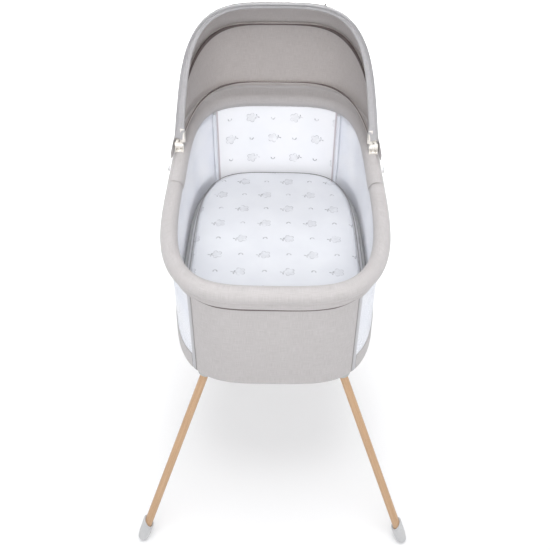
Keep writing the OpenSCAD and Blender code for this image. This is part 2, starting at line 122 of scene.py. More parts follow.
def start_material(name, base, rough, **extra):
    """A material with its Principled shader's constants set; returns it, its tree and the shader."""
    made = bpy.data.materials.new(name)
    made.use_nodes = True
    shader = made.node_tree.nodes["Principled BSDF"]
    shader.inputs["Base Color"].default_value = srgb(base)
    shader.inputs["Roughness"].default_value = rough
    for key, value in extra.items():
        shader.inputs[key.replace("_", " ")].default_value = value
    return made, made.node_tree, shader


def mix_colour(tree, factor, a, b):
    """Colour between a and b, which are hex codes or sockets, by a factor socket."""
    made = add(tree, "ShaderNodeMix", data_type="RGBA")
    tree.links.new(factor, made.inputs[0])
    for slot, value in ((6, a), (7, b)):
        if isinstance(value, str):
            made.inputs[slot].default_value = srgb(value)
        else:
            tree.links.new(value, made.inputs[slot])
    return made.outputs[2]


def ramp(tree, source, low, high):
    """Values of a socket stretched so that low gives 0 and high gives 1."""
    made = add(tree, "ShaderNodeMapRange", [("Value", source)], From_Min=low, From_Max=high)
    return made.outputs["Result"]


def scaled(tree, coords, x, y, z=1.0):
    return add(tree, "ShaderNodeMapping", [("Vector", coords)], Scale=(x, y, z)).outputs["Vector"]


def maths(tree, operation, a, b):
    made = add(tree, "ShaderNodeMath", operation=operation)
    for slot, value in ((0, a), (1, b)):
        if isinstance(value, (int, float)):
            made.inputs[slot].default_value = value
        else:
            tree.links.new(value, made.inputs[slot])
    return made.outputs[0]


def times(tree, a, b):
    return maths(tree, "MULTIPLY", a, b)


def plus(tree, a, b):
    return maths(tree, "ADD", a, b)


def bumped(tree, shader, height, strength, depth):
    """Bump a shader's surface from a height socket, depth in metres."""
    made = add(tree, "ShaderNodeBump", [("Height", height)], Strength=strength, Distance=depth)
    tree.links.new(made.outputs["Normal"], shader.inputs["Normal"])


def cloth_coords(tree):
    return add(tree, "ShaderNodeUVMap", uv_map="cloth").outputs["UV"]


# ---- materials ---------------------------------------------------------------------


def woven_melange(name, light, dark, thread=1.6):
    """Plain-woven melange polyester: two greys of yarn, slubs along both threads, soft sheen.
    The real thread is 0.5 mm; it is drawn at the given millimetres so that it shows."""
    made, tree, shader = start_material(name, light, 0.88, Sheen_Weight=0.25, Sheen_Roughness=0.5)
    uv = cloth_coords(tree)
    per = 1 / (thread * MM)
    warp = add(tree, "ShaderNodeTexNoise", [("Vector", scaled(tree, uv, per, per / 26))], Scale=1.0,
        Detail=2.0)
    weft = add(tree, "ShaderNodeTexNoise", [("Vector", scaled(tree, uv, per / 26, per))], Scale=1.0,
        Detail=2.0)
    slubs = plus(tree, warp.outputs["Fac"], weft.outputs["Fac"])
    cloudy = add(tree, "ShaderNodeTexNoise", [("Vector", scaled(tree, uv, 14, 14))], Scale=1.0, Detail=3.0)
    tone = plus(tree, ramp(tree, slubs, 0.62, 1.38), times(tree, cloudy.outputs["Fac"], 0.25))
    tree.links.new(mix_colour(tree, ramp(tree, tone, 0.15, 1.1), dark, light), shader.inputs["Base Color"])
    over = add(tree, "ShaderNodeTexWave", [("Vector", scaled(tree, uv, per, 0))], Scale=math.pi / 10,
        wave_type="BANDS")
    under = add(tree, "ShaderNodeTexWave", [("Vector", scaled(tree, uv, 0, per))], Scale=math.pi / 10,
        wave_type="BANDS", bands_direction="Y")
    weave = times(tree, over.outputs["Fac"], under.outputs["Fac"])
    bumped(tree, shader, plus(tree, weave, times(tree, slubs, 0.8)), 0.45, 0.4 * MM)
    return made


def twill_tape(name, light, dark):
    """Polyester twill tape: fine slanting ribs 1 mm apart, a little glossier than the cloth."""
    made, tree, shader = start_material(name, light, 0.75, Sheen_Weight=0.15)
    uv = cloth_coords(tree)
    slanted = add(tree, "ShaderNodeMapping", [("Vector", uv)], Rotation=(0, 0, math.radians(63)),
        Scale=(1 / MM, 1 / MM, 1))
    ribs = add(tree, "ShaderNodeTexWave", [("Vector", slanted.outputs["Vector"])], Scale=math.pi / 10,
        Distortion=0.6)
    worn = add(tree, "ShaderNodeTexNoise", [("Vector", scaled(tree, uv, 90, 90))], Scale=1.0, Detail=3.0)
    tone = plus(tree, times(tree, ribs.outputs["Fac"], 0.5), times(tree, worn.outputs["Fac"], 0.6))
    tree.links.new(mix_colour(tree, tone, dark, light), shader.inputs["Base Color"])
    bumped(tree, shader, ribs.outputs["Fac"], 0.4, 0.25 * MM)
    return made


def printed_jersey(name, base, shade, ink):
    """Cotton jersey with a small grey print of sprigs and rings: knit ribs, soft nap, faint creases."""
    made, tree, shader = start_material(name, base, 0.9, Sheen_Weight=0.2)
    uv = cloth_coords(tree)
    # one repeat holds a sprig and, half a repeat on, a small ring; alternate rows are offset
    pitch_x, pitch_y = 144 * MM, 154 * MM
    motifs = []
    for shift_x, shift_y, size, kind in (
        (0.0, 0.0, 0.115, "cloud"),
        (0.5, 0.5, 0.115, "cloud"),
        (0.13, 0.02, 0.06, "leaves"),
        (0.63, 0.52, 0.06, "leaves"),
        (0.5, 0.0, 0.06, "arch"),
        (0.0, 0.5, 0.06, "arch"),
    ):
        placed = add(tree, "ShaderNodeMapping", [("Vector", uv)], Location=(shift_x, shift_y, 0),
            Scale=(1 / pitch_x, 1 / pitch_y, 1))
        cell = add(tree, "ShaderNodeVectorMath", [("Vector", placed.outputs["Vector"])],
            operation="FRACTION")
        middle = add(tree, "ShaderNodeVectorMath", [(0, cell.outputs["Vector"])], operation="SUBTRACT")
        middle.inputs[1].default_value = (0.5, 0.5, 0)
        squared = add(tree, "ShaderNodeVectorMath", [(0, middle.outputs["Vector"])], operation="MULTIPLY")
        squared.inputs[1].default_value = (pitch_x / pitch_y, 1, 0)
        split = add(tree, "ShaderNodeSeparateXYZ", [("Vector", squared.outputs["Vector"])])
        x, y = split.outputs["X"], split.outputs["Y"]
        away = add(tree, "ShaderNodeVectorMath", [(0, squared.outputs["Vector"])],
            operation="LENGTH").outputs["Value"]
        inside = maths(tree, "LESS_THAN", away, size)
        turn = maths(tree, "ARCTAN2", y, x)
        if kind == "cloud":
            lobes = maths(tree, "ABSOLUTE", maths(tree, "SINE", times(tree, turn, 2.5), 0.0), 0.0)
            rim = times(tree, plus(tree, times(tree, lobes, 0.35), 0.6), size)
            edge = maths(tree, "ABSOLUTE", maths(tree, "SUBTRACT", away, rim), 0.0)
            line = maths(tree, "LESS_THAN", edge, 0.008)
            filled = times(tree, maths(tree, "LESS_THAN", away, rim), 0.22)
            mark = maths(tree, "MAXIMUM", times(tree, line, 0.75), filled)
        elif kind == "leaves":
            blades = maths(tree, "ABSOLUTE",
                maths(tree, "SINE", plus(tree, times(tree, turn, 1.5), 0.5), 0.0), 0.0)
            rim = times(tree, maths(tree, "POWER", blades, 3.0), size)
            mark = maths(tree, "LESS_THAN", away, rim)
        else:
            edge = maths(tree, "ABSOLUTE", maths(tree, "SUBTRACT", away, size * 0.62), 0.0)
            line = maths(tree, "LESS_THAN", edge, 0.012)
            mark = times(tree, line, maths(tree, "GREATER_THAN", y, -0.01))
        motifs.append(times(tree, mark, inside))
    printed = motifs[0]
    for other in motifs[1:]:
        printed = maths(tree, "MAXIMUM", printed, other)
    fade = add(tree, "ShaderNodeTexNoise", [("Vector", scaled(tree, uv, 60, 60))], Scale=1.0, Detail=4.0)
    inked = times(tree, printed, ramp(tree, fade.outputs["Fac"], 0.3, 0.55))
    soft = add(tree, "ShaderNodeTexNoise", [("Vector", scaled(tree, uv, 9, 9))], Scale=1.0, Detail=4.0)
    ground = mix_colour(tree, ramp(tree, soft.outputs["Fac"], 0.3, 0.7), shade, base)
    tree.links.new(mix_colour(tree, times(tree, inked, 0.62), ground, ink), shader.inputs["Base Color"])
    ribs = add(tree, "ShaderNodeTexWave", [("Vector", scaled(tree, uv, 1 / (1.3 * MM), 0))],
        Scale=math.pi / 10)
    bumped(tree, shader, plus(tree, ribs.outputs["Fac"], times(tree, soft.outputs["Fac"], 6.0)),
        0.25, 0.3 * MM)
    return made


def knitted_net(name, yarn):
    """Warp-knitted polyester net: white yarn round small holes, so the light comes through.
    The real holes are 1 mm apart; they are drawn 2.4 mm apart so that they show."""
    made, tree, shader = start_material(name, yarn, 0.7, Sheen_Weight=0.3)
    uv = cloth_coords(tree)
    holes = add(tree, "ShaderNodeTexVoronoi",
        [("Vector", scaled(tree, uv, 1 / (2.4 * MM), 1 / (2.4 * MM)))],
        Scale=1.0, Randomness=0.25, voronoi_dimensions="2D")
    solid = ramp(tree, holes.outputs["Distance"], 0.2, 0.42)
    tree.links.new(ramp(tree, solid, -0.5, 1.1), shader.inputs["Alpha"])
    patchy = add(tree, "ShaderNodeTexNoise", [("Vector", scaled(tree, uv, 12, 12))], Scale=1.0, Detail=2.0)
    tree.links.new(mix_colour(tree, ramp(tree, patchy.outputs["Fac"], 0.3, 0.7), "#edf0f8", yarn),
        shader.inputs["Base Color"])
    bumped(tree, shader, holes.outputs["Distance"], 0.4, 0.3 * MM)
    return made


def lacquered_beech(name):
    """Steamed beech under satin lacquer: long faint grain along the leg, short dark pores."""
    made, tree, shader = start_material(name, "#bd936c", 0.42, Coat_Weight=0.25, Coat_Roughness=0.3)
    uv = cloth_coords(tree)
    grain = add(tree, "ShaderNodeTexNoise", [("Vector", scaled(tree, uv, 9, 260))], Scale=1.0, Detail=5.0,
        Distortion=0.4)
    rings = add(tree, "ShaderNodeTexWave", [("Vector", scaled(tree, uv, 3, 130))], Scale=1.0,
        Distortion=3.0,
        Detail=2.0, bands_direction="Y")
    tone = plus(tree, times(tree, grain.outputs["Fac"], 0.7), times(tree, rings.outputs["Fac"], 0.35))
    wood = mix_colour(tree, ramp(tree, tone, 0.25, 0.85), "#b08c68", "#ceac8b")
    pores = add(tree, "ShaderNodeTexNoise", [("Vector", scaled(tree, uv, 120, 1500))], Scale=1.0,
        Detail=1.0)
    specks = ramp(tree, pores.outputs["Fac"], 0.66, 0.74)
    tree.links.new(mix_colour(tree, times(tree, specks, 0.5), wood, "#86603c"), shader.inputs["Base Color"])
    bumped(tree, shader, grain.outputs["Fac"], 0.15, 0.1 * MM)
    return made


def moulded(name, base, worn, rough, grit, **extra):
    """Moulded plastic: even colour with a faint mottle, a fine spark-eroded grain, duller where rubbed."""
    made, tree, shader = start_material(name, base, rough, **extra)
    place = add(tree, "ShaderNodeTexCoord").outputs["Object"]
    mottle = add(tree, "ShaderNodeTexNoise", [("Vector", place)], Scale=40.0, Detail=4.0)
    tree.links.new(mix_colour(tree, ramp(tree, mottle.outputs["Fac"], 0.35, 0.75), base, worn),
        shader.inputs["Base Color"])
    tree.links.new(ramp(tree, mottle.outputs["Fac"], 0.9 - rough * 1.4, 2.2 - rough * 1.6),
        shader.inputs["Roughness"])
    grain = add(tree, "ShaderNodeTexNoise", [("Vector", place)], Scale=1 / (grit * MM), Detail=2.0)
    bumped(tree, shader, grain.outputs["Fac"], 0.12, 0.1 * MM)
    return made


def bare_metal(name, base, rough):
    """Plated steel of pins, screws and the zip: metallic, with fine scratches."""
    made, tree, shader = start_material(name, base, rough, Metallic=1.0)
    place = add(tree, "ShaderNodeTexCoord").outputs["Object"]
    scratch = add(tree, "ShaderNodeTexNoise", [("Vector", scaled(tree, place, 900, 60, 60))], Scale=1.0,
        Detail=3.0)
    tree.links.new(ramp(tree, scratch.outputs["Fac"], -0.6, 2.0), shader.inputs["Roughness"])
    bumped(tree, shader, scratch.outputs["Fac"], 0.1, 0.05 * MM)
    return made


# outer cloth: warm grey melange, with slubs that break up the flat tone
CLOTH = woven_melange("melange_polyester", "#bfbbbb", "#aaa6a5", 1.1)
# canopy inner face: the same weave as the outer cloth, a little warmer and lighter, a copy whose tone
# paints the light and shade under the canopy
CANOPY_INNER_PAINTED_TONE = woven_melange("melange_canopy_lining", "#c5bfbc", "#afa8a5", 1.1)
# edge binding: a cooler grey line round the canopy mouth
EDGE_CLOTH = woven_melange("melange_edge_band", "#b1b0b2", "#9e9c9e", 1.1)
# twill binding: a fine cool stripe between cloth and net
BINDING = twill_tape("twill_binding", "#bfbec1", "#aeadb0")
# lining tape: a faint warm line on white
PINK_TAPE = twill_tape("twill_lining_tape", "#d3cbce", "#c2b9bd")
# dark tape: the canopy zip's own colour for its tape, teeth and pull tab; as the cords on the bow casings
# and the basket's zip under the upper hem it also paints the shade in a gap
ZIP_AND_SHADE_DARK = twill_tape("taupe_piping", "#6b615f", "#574e4c")
# grey cord: a soft outline along a seam
GREY_CORD = twill_tape("grey_piping", "#9a9695", "#868281")
# sewing thread: small raised dashes a shade darker than cloth
THREAD = twill_tape("sewing_thread", "#a5a2a1", "#918e8d")
# plain jersey: clean white with a faint cool cast
COTTON = printed_jersey("printed_cotton_lining", "#fcfcfe", "#f5f6f9", "#85868b")
# printed jersey: soft white with sparse grey prints
SHEET_COTTON = printed_jersey("printed_cotton_sheet", "#e5e7eb", "#dee0e5", "#7c7d82")
# side net: milky white that lets some of the inside through
NET = knitted_net("knitted_net", "#fafbff")
# lacquered beech: warm straight grain with a soft sheen
BEECH = lacquered_beech("lacquered_beech")
# shoes: soft grey rubber without a hard highlight
SHOE = moulded("soft_touch_elastomer", "#c6c6c6", "#bcbcbd", 0.62, 0.5)
# hinge plastic: warm off-white with a small bright highlight
CREAM = moulded("acetal_hinge_plastic", "#e6e2dc", "#dcd7d0", 0.36, 0.35)
# stand fittings: dull grey with a slight grain
NYLON = moulded("glass_filled_nylon", "#b9bab9", "#adaeae", 0.5, 0.4)
# coated tube: even pale grey
COATED = moulded("powder_coated_steel", "#c4c5c6", "#b8b9bb", 0.45, 0.6)
# base board: flat pale face
BOARD = moulded("white_faced_board", "#dcdde0", "#cfd0d4", 0.7, 0.8)
# screws and pins: small bright metal points
STEEL = bare_metal("zinc_plated_steel", "#b9bbbe", 0.35)


# ---- outline of the basket -----------------------------------------------------


def signed_power(v, p):
    return np.sign(v) * np.abs(v) ** p


def outline(t, d=0.0):
    """Points of the basket's outline at angles t in degrees, moved outwards by d metres."""
    t = np.radians(np.asarray(t, float))
    c, s = np.cos(t), np.sin(t)
    p = 2 / SQUARE
    nx, ny = signed_power(c, 2 - p) / HALF_W, signed_power(s, 2 - p) / HALF_L
    m = np.hypot(nx, ny)
    return np.stack([HALF_W * signed_power(c, p) + d * nx / m, HALF_L * signed_power(s, p) + d * ny / m],
        -1)


FINE_T = np.linspace(0, 360, 14401)
FINE_XY = outline(FINE_T)
FINE_S = np.concatenate([[0], np.cumsum(np.linalg.norm(np.diff(FINE_XY, axis=0), axis=1))])
ROUND = FINE_S[-1]


def arc_at(t):
    """Distance along the outline at angle t, which may pass a full turn."""
    return np.interp(np.mod(t, 360), FINE_T, FINE_S) + ROUND * np.floor(np.asarray(t) / 360)


def angle_at(s):
    return np.interp(np.mod(s, ROUND), FINE_S, FINE_T)


def t_at_x(x):
    return math.degrees(math.acos((x / HALF_W) ** (SQUARE / 2)))


def t_at_y(y):
    return math.copysign(math.degrees(math.asin((abs(y) / HALF_L) ** (SQUARE / 2))), y)


def outward(t):
    """Level unit direction out of the basket at outline angles t."""
    return outline(t, 1.0) - outline(t)


def t_of_point(x, y):
    """Angle of the outline nearest to points beside it."""
    h = SQUARE / 2
    return np.mod(np.degrees(np.arctan2(signed_power(y / HALF_L, h), signed_power(x / HALF_W, h))), 360)


def stations(t0, t1, step):
    """Angles from t0 to t1, evenly spaced along the outline."""
    s0, s1 = arc_at(t0), arc_at(t1)
    return angle_at(np.linspace(s0, s1, max(2, int(abs(s1 - s0) / step) + 1)))


# ---- building meshes --------------------------------------------------------------


def make_mesh(name, verts, faces, uvs, sharp=48.0):
    """Mesh object with its cloth UVs in metres, one pair for each face corner."""
    mesh = bpy.data.meshes.new(name)
    mesh.from_pydata([tuple(v) for v in verts], [], faces)
    layer = mesh.uv_layers.new(name="cloth")
    layer.data.foreach_set("uv", np.asarray(uvs, np.float32).ravel())
    piece = bpy.data.objects.new(name, mesh)
    bpy.context.collection.objects.link(piece)
    work = bmesh.new()
    work.from_mesh(mesh)
    bmesh.ops.recalc_face_normals(work, faces=work.faces)
    for face in work.faces:
        face.smooth = True
    for edge in work.edges:
        edge.smooth = len(edge.link_faces) != 2 or edge.calc_face_angle() < math.radians(sharp)
    work.to_mesh(mesh)
    work.free()
    return piece


def grid(name, points, uv, wrap=(False, False), caps=False, sharp=48.0):
    """Surface through an n by m array of points. A wrapped direction closes on itself; its uv array is
    one longer."""
    n, m = points.shape[:2]
    faces, corners = [], []
    for i in range(n if wrap[0] else n - 1):
        for j in range(m if wrap[1] else m - 1):
            i2, j2 = (i + 1) % n, (j + 1) % m
            faces.append((i * m + j, i2 * m + j, i2 * m + j2, i * m + j2))
            corners += [uv[i, j], uv[i + 1, j], uv[i + 1, j + 1], uv[i, j + 1]]
    if caps:
        for i in (0, n - 1):
            faces.append(tuple(i * m + j for j in range(m)))
            corners += [uv[i, j] for j in range(m)]
    return make_mesh(name, points.reshape(-1, 3), faces, corners, sharp)


def sweep(name, centres, us, vs, profile, closed=False, sharp=48.0):
    """Profile of (u, v) points carried along a path of centres with their two axes."""
    centres, us, vs = (np.asarray(a, float) for a in (centres, us, vs))
    n = len(centres)
    shapes = np.array([profile(i / (n - 1)) if callable(profile) else profile for i in range(n)], float)
    points = centres[:, None] + shapes[..., :1] * us[:, None] + shapes[..., 1:] * vs[:, None]
    path = np.concatenate([centres, centres[:1]]) if closed else centres
    along = np.concatenate([[0], np.cumsum(np.linalg.norm(np.diff(path, axis=0), axis=1))])
    ring = np.concatenate([shapes[0], shapes[0][:1]])
    across = np.concatenate([[0], np.cumsum(np.linalg.norm(np.diff(ring, axis=0), axis=1))])
    uv = np.stack(np.meshgrid(along, across, indexing="ij"), -1)
    return grid(name, points, uv, (closed, True), caps=not closed, sharp=sharp)


def round_profile(r, sides=24, flat=1.0):
    turn = np.linspace(0, 2 * math.pi, sides, endpoint=False)
    return np.stack([r * np.cos(turn), r * flat * np.sin(turn)], -1)


def rolled_profile(r, thick, sides=22, seam=8.0):
    """Closed section of cloth rolled into a tube, its two edges meeting at a seam on the +u side."""
    turn = np.radians(np.linspace(seam / 2, 360 - seam / 2, sides))
    ring = np.stack([np.cos(turn), np.sin(turn)], -1)
    return np.concatenate([r * ring, (r - thick) * ring[::-1]])


def strip_profile(width, thick, steps=4, crown=0.0):
    """Closed section of a strip of cloth: width along u, thickness along v, soft edges, a slight crown."""
    k = np.linspace(-1, 1, steps + 1)
    inner = width / 2 - thick * 0.35
    bow = crown * (1 - k**2)
    top = np.stack([k * inner, thick / 2 + bow], -1)
    low = np.stack([-k * inner, -thick / 2 + bow[::-1]], -1)
    return np.concatenate([top, [[width / 2, 0]], low, [[-width / 2, 0]]])


def bake(piece):
    """Apply a piece's modifiers to its mesh."""
    done = piece.evaluated_get(bpy.context.evaluated_depsgraph_get())
    piece.data = bpy.data.meshes.new_from_object(done)
    piece.modifiers.clear()
    return piece


def shift(piece, move):
    """Move every point of a piece by a function of all its points."""
    co = np.array([v.co for v in piece.data.vertices])
    co += move(co)
    piece.data.vertices.foreach_set("co", co.ravel())
    piece.data.update()
    return piece


def uneven(co, scale, seed=0.0):
    """Smooth noise from -1 to 1 at each point."""
    return np.array([noise.noise(Vector((x * scale + seed, y * scale, z * scale))) for x, y, z in co])


def dress(piece, material, body, replaced=()):
    """Give a piece its material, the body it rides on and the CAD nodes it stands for."""
    piece.data.materials.clear()
    piece.data.materials.append(material)
    if body:
        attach(piece, body)
    if replaced:
        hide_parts(*([replaced] if isinstance(replaced, str) else replaced))
    return piece


def stitches(name, path, outward, pitch=4.2 * MM, size=0.45 * MM):
    """Row of sewing stitches lying on a path, each a small pointed bead of thread."""
    path, outward = np.asarray(path, float), np.asarray(outward, float)
    run = np.concatenate([[0], np.cumsum(np.linalg.norm(np.diff(path, axis=0), axis=1))])
    verts, faces, uvs = [], [], []
    starts = np.arange(pitch / 2, run[-1] - pitch, pitch)
    for s in starts:
        ends = [np.array([np.interp(q, run, path[:, k]) for k in range(3)]) for q in (s, s + 0.68 * pitch)]
        away = np.array([np.interp(s, run, outward[:, k]) for k in range(3)])
        side = np.cross(ends[1] - ends[0], away)
        side /= np.linalg.norm(side) + 1e-9
        mid = (ends[0] + ends[1]) / 2
        base = len(verts)
        verts += [ends[0], ends[1], mid + away * size, mid + side * size, mid - away * size,
            mid - side * size]
        for a, b in ((2, 3), (3, 4), (4, 5), (5, 2)):
            faces += [(base, base + a, base + b), (base + 1, base + b, base + a)]
            uvs += [(0, 0), (0.001, 0), (0.001, 0.001)] * 2
    return make_mesh(name, verts, faces, uvs, sharp=180)


def axes_along(path):
    """Unit tangents of a path."""
    path = np.asarray(path, float)
    run = np.gradient(path, axis=0)
    return run / np.linalg.norm(run, axis=1)[:, None]


# ---- walls of the basket ------------------------------------------------------------

WALL_LOW = BASE_Z + 2 * MM
SIDE_T = t_at_x(PANEL_HALF)


def slack(ts, z):
    """How far the walls lie in or out at each place: the sides draw in between rim and base, the ends
    billow."""
    across = np.clip((z - WALL_LOW) / (WALL_TOP - WALL_LOW), 0, 1)
    full = np.sin(math.pi * across)
    folded = np.mod(ts + 90, 180) - 90
    side = np.clip(1 - np.abs(folded) / SIDE_T, 0, 1)
    end = np.clip((np.abs(folded) - SIDE_T) / (90 - SIDE_T), 0, 1)
    ripple = np.sin(arc_at(ts) * 34 + 3 * across) * 0.5 + np.sin(arc_at(ts) * 71 + 1.3) * 0.25
    return MM * full * (-3.0 * np.sqrt(side) + 1.1 * np.sqrt(end) + 0.45 * ripple)


def wall_piece(name, t0, t1, low, high, inside, outside, rows, step=12 * MM, crown=0.0):
    """Strip of wall cloth between two angles and two heights, following the walls' slack."""
    closed = t1 - t0 >= 360
    ts = stations(t0, t1, step)
    if closed:
        ts = ts[:-1]
    mid = (inside + outside) / 2
    base = outline(ts, mid)
    normal = outline(ts, mid + 1) - base
    z = (low + high) / 2
    centres = np.column_stack([base, np.full(len(ts), z)])
    us = np.tile([0, 0, 1.0], (len(ts), 1))
    vs = np.column_stack([normal, np.zeros(len(ts))])
    profile = strip_profile(high - low, outside - inside, rows, crown)
    piece = sweep(name, centres, us, vs, profile, closed)

    def follow(co):
        where = t_of_point(co[:, 0], co[:, 1])
        out = outline(where, 1.0) - outline(where)
        return np.column_stack([out * slack(where, co[:, 2])[:, None], np.zeros(len(co))])

    return shift(piece, follow)


def wall_path(ts, z, d):
    """Points along the wall at one height, riding on its slack, with the directions out of the wall."""
    away = outward(ts)
    xy = outline(ts, d) + away * slack(ts, np.full(len(ts), z))[:, None]
    return np.column_stack([xy, np.full(len(ts), z)]), np.column_stack([away, np.zeros(len(ts))])


END_SPANS = {"foot": (180 + SIDE_T, 360 - SIDE_T), "head": (SIDE_T, 180 - SIDE_T)}
SIDE_SPANS = {"right": (-SIDE_T, SIDE_T), "left": (180 - SIDE_T, 180 + SIDE_T)}
BIND = 11 * MM
SKIN = 1.2 * MM
rim_hem_low, rim_hem_high = box("rim_hem")
wall_hem_low, wall_hem_high = box("wall_hem")

for end, (t0, t1) in END_SPANS.items():
    panel = wall_piece(f"end_panel_{end}", t0, t1, WALL_LOW, WALL_TOP, 0, SKIN, 24)
    dress(panel, CLOTH, "basket", f"panel_{end}")

for side, (t0, t1) in SIDE_SPANS.items():
    mesh_wall = wall_piece(f"side_mesh_{side}", t0, t1, WALL_LOW, WALL_TOP, 0, SKIN, 24)
    dress(mesh_wall, NET, "basket", f"mesh_{side}")
    t_edge = t_at_x(PANEL_HALF + BIND / 2) - 0.2
    middle = (t0 + t1) / 2
    band = wall_piece(f"lower_band_{side}_cloth", middle - t_edge, middle + t_edge, WALL_LOW, BAND_TOP,
        1.5 * MM, 2.7 * MM, 6)
    dress(band, CLOTH, "basket", f"lower_band_{side}")
    ts = stations(middle - t_edge + 0.2, middle + t_edge - 0.2, 8 * MM)
    dress(stitches(f"band_stitches_{side}", *wall_path(ts, BAND_TOP - 2.5 * MM, 2.75 * MM)), THREAD,
        "basket")


def end_share(t, start, run):
    """0 along the sides, rising to 1 across the two ends; start and run are shares of the side's angles."""
    return np.clip((np.abs(np.mod(t + 90, 180) - 90) - SIDE_T * start) / ((90 - SIDE_T) * run), 0, 1)


def flare(co):
    """The upper hem stands away from the wall at its lower edge, most across the two ends, and sags a
    little."""
    t = t_of_point(co[:, 0], co[:, 1])
    away = outward(t)
    k = np.clip((rim_hem_high[2] - co[:, 2]) / (rim_hem_high[2] - rim_hem_low[2]), 0, 1)
    end = end_share(t, 0.8, 0.7)
    wave = 0.5 + 0.5 * np.sin(arc_at(t) * 21) * np.sin(arc_at(t) * 8 + 1)
    out = MM * k * (1.0 + end * (3.2 + 1.3 * wave))
    return np.column_stack([away * out[:, None], -MM * k * end * (6.2 + 1.0 * wave)])


# two hems under the padded rim, each with a row of stitches, and the dark zip between them, whose colour
# also paints the shade in the gap under the upper hem
for name, low, high, material in (
    ("rim_hem", rim_hem_low[2], rim_hem_high[2], CLOTH),
    ("wall_hem", wall_hem_low[2], wall_hem_high[2], CLOTH),
):
    hem = wall_piece(f"{name}_tape", 0, 360, low, high, 1.8 * MM, 3.0 * MM, 4, crown=0.35 * MM)
    if name == "rim_hem":
        shift(hem, flare)
    dress(hem, material, "basket", name)
    row = stations(0, 359.9, 8 * MM)
    dress(stitches(f"{name}_stitches", *wall_path(row, low + 2.2 * MM, 3.15 * MM)), THREAD, "basket")

ZIP_LOW = wall_hem_high[2] - 12 * MM
ZIP_TOP = wall_hem_high[2] - 3 * MM
# dark zip tape round the wall, which also stands in as painted shade in the gap under the upper hem
wall_zip_and_shade_band = wall_piece("wall_zip_tape", 0, 360, ZIP_LOW, ZIP_TOP, 3.3 * MM, 4.1 * MM, 4)


def fade_zip_and_shade(co):
    """The dark zip tape shows most across the two ends and runs in under the upper hem along the sides; its
    dark colour also paints the shade in the gap under that hem.
    """
    t = t_of_point(co[:, 0], co[:, 1])
    end = end_share(t, 0.95, 0.6)
    low = np.clip((ZIP_TOP - co[:, 2]) / (9 * MM), 0, 1)
    away = outward(t)
    sink = (1 - np.sqrt(end)) * 1.1 * MM
    return np.column_stack([-away * sink[:, None], (low * (1 - end) * 7 + (1 - end) * 3) * MM])


shift(wall_zip_and_shade_band, fade_zip_and_shade)
dress(wall_zip_and_shade_band, ZIP_AND_SHADE_DARK, "basket", ())

# bindings up the joints between end panels and mesh, each with two rows of stitches and a piped inner edge
for end, base_t in (("foot", 270), ("head", 90)):
    for sign in (-1, 1):
        half = 90 - t_at_x(PANEL_HALF)
        s_mid = arc_at(base_t + sign * half)
        levels = np.linspace(WALL_LOW + 1 * MM, wall_hem_low[2] - 0.5 * MM, 40)
        for kind, offset, width, thick, lift in (
            ("binding", 0.0, BIND, SKIN, 2.1 * MM),
            ("piping", -sign * (BIND / 2 + 0.9 * MM), 1.6 * MM, 1.3 * MM, 1.8 * MM),
        ):
            t_mid = angle_at(s_mid + offset)
            away = outline(t_mid, 1.0) - outline(t_mid)
            tall = [outline(t_mid, lift) + away * slack(np.array([t_mid]), np.array([z]))[0]
                for z in levels]
            centres = np.column_stack([np.array(tall), levels])
            tangent = np.array([-away[1], away[0], 0])
            shape = strip_profile(width, thick, 4,
                0.2 * MM) if kind == "binding" else round_profile(thick / 2, 8)
            tape = sweep(f"{kind}_{end}_{'left' if sign * (1 if end == 'foot' else -1) < 0 else 'right'}",
                centres,
                np.tile(tangent, (40, 1)), np.tile([*away, 0], (40, 1)), shape)
            dress(tape, BINDING if kind == "binding" else GREY_CORD, "basket", ())
            if kind == "binding":
                for edge in (-1, 1):
                    t_row = angle_at(s_mid + edge * (BIND / 2 - 1.8 * MM))
                    out = outline(t_row, 1.0) - outline(t_row)
                    xy = [outline(t_row, 2.85 * MM) + out * slack(np.array([t_row]), np.array([z]))[0]
                        for z in levels]
                    sewn = stitches(f"binding_stitches_{tape.name[8:]}_{'in' if edge < 0 else 'out'}",
                        np.column_stack([np.array(xy), levels]), np.tile([*out, 0], (40, 1)))
                    dress(sewn, THREAD, "basket")
    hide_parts(f"bindings_{end}")
    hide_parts(f"bindings_{end}")

# printed linings inside the two ends, with a tape down each edge
lining_low = box("lining_foot")[0]
for end, base_t in (("foot", 270), ("head", 90)):
    half = 90 - t_at_x(PANEL_HALF - 9 * MM)
    lining = wall_piece(f"lining_{end}_cotton", base_t - half, base_t + half, lining_low[2], WALL_TOP,
        -1.5 * MM, -0.3 * MM, 24)
    dress(lining, COTTON, "basket", f"lining_{end}")
    for sign in (-1, 1):
        t_edge = angle_at(arc_at(base_t + sign * half) - sign * 3 * MM)
        away = outward(t_edge)
        levels = np.linspace(sheet_low[2], WALL_TOP - 1 * MM, 30)
        xy = [outline(t_edge, -2.2 * MM) + away * slack(np.array([t_edge]), np.array([z]))[0]
            for z in levels]
        tape = sweep(f"lining_tape_{end}_{'a' if sign < 0 else 'b'}",
            np.column_stack([np.array(xy), levels]),
            np.tile([-away[1], away[0], 0], (30, 1)), np.tile([*away, 0], (30, 1)),
            strip_profile(7 * MM, 1.1 * MM, 2, 0.2 * MM))
        dress(tape, PINK_TAPE, "basket", ())

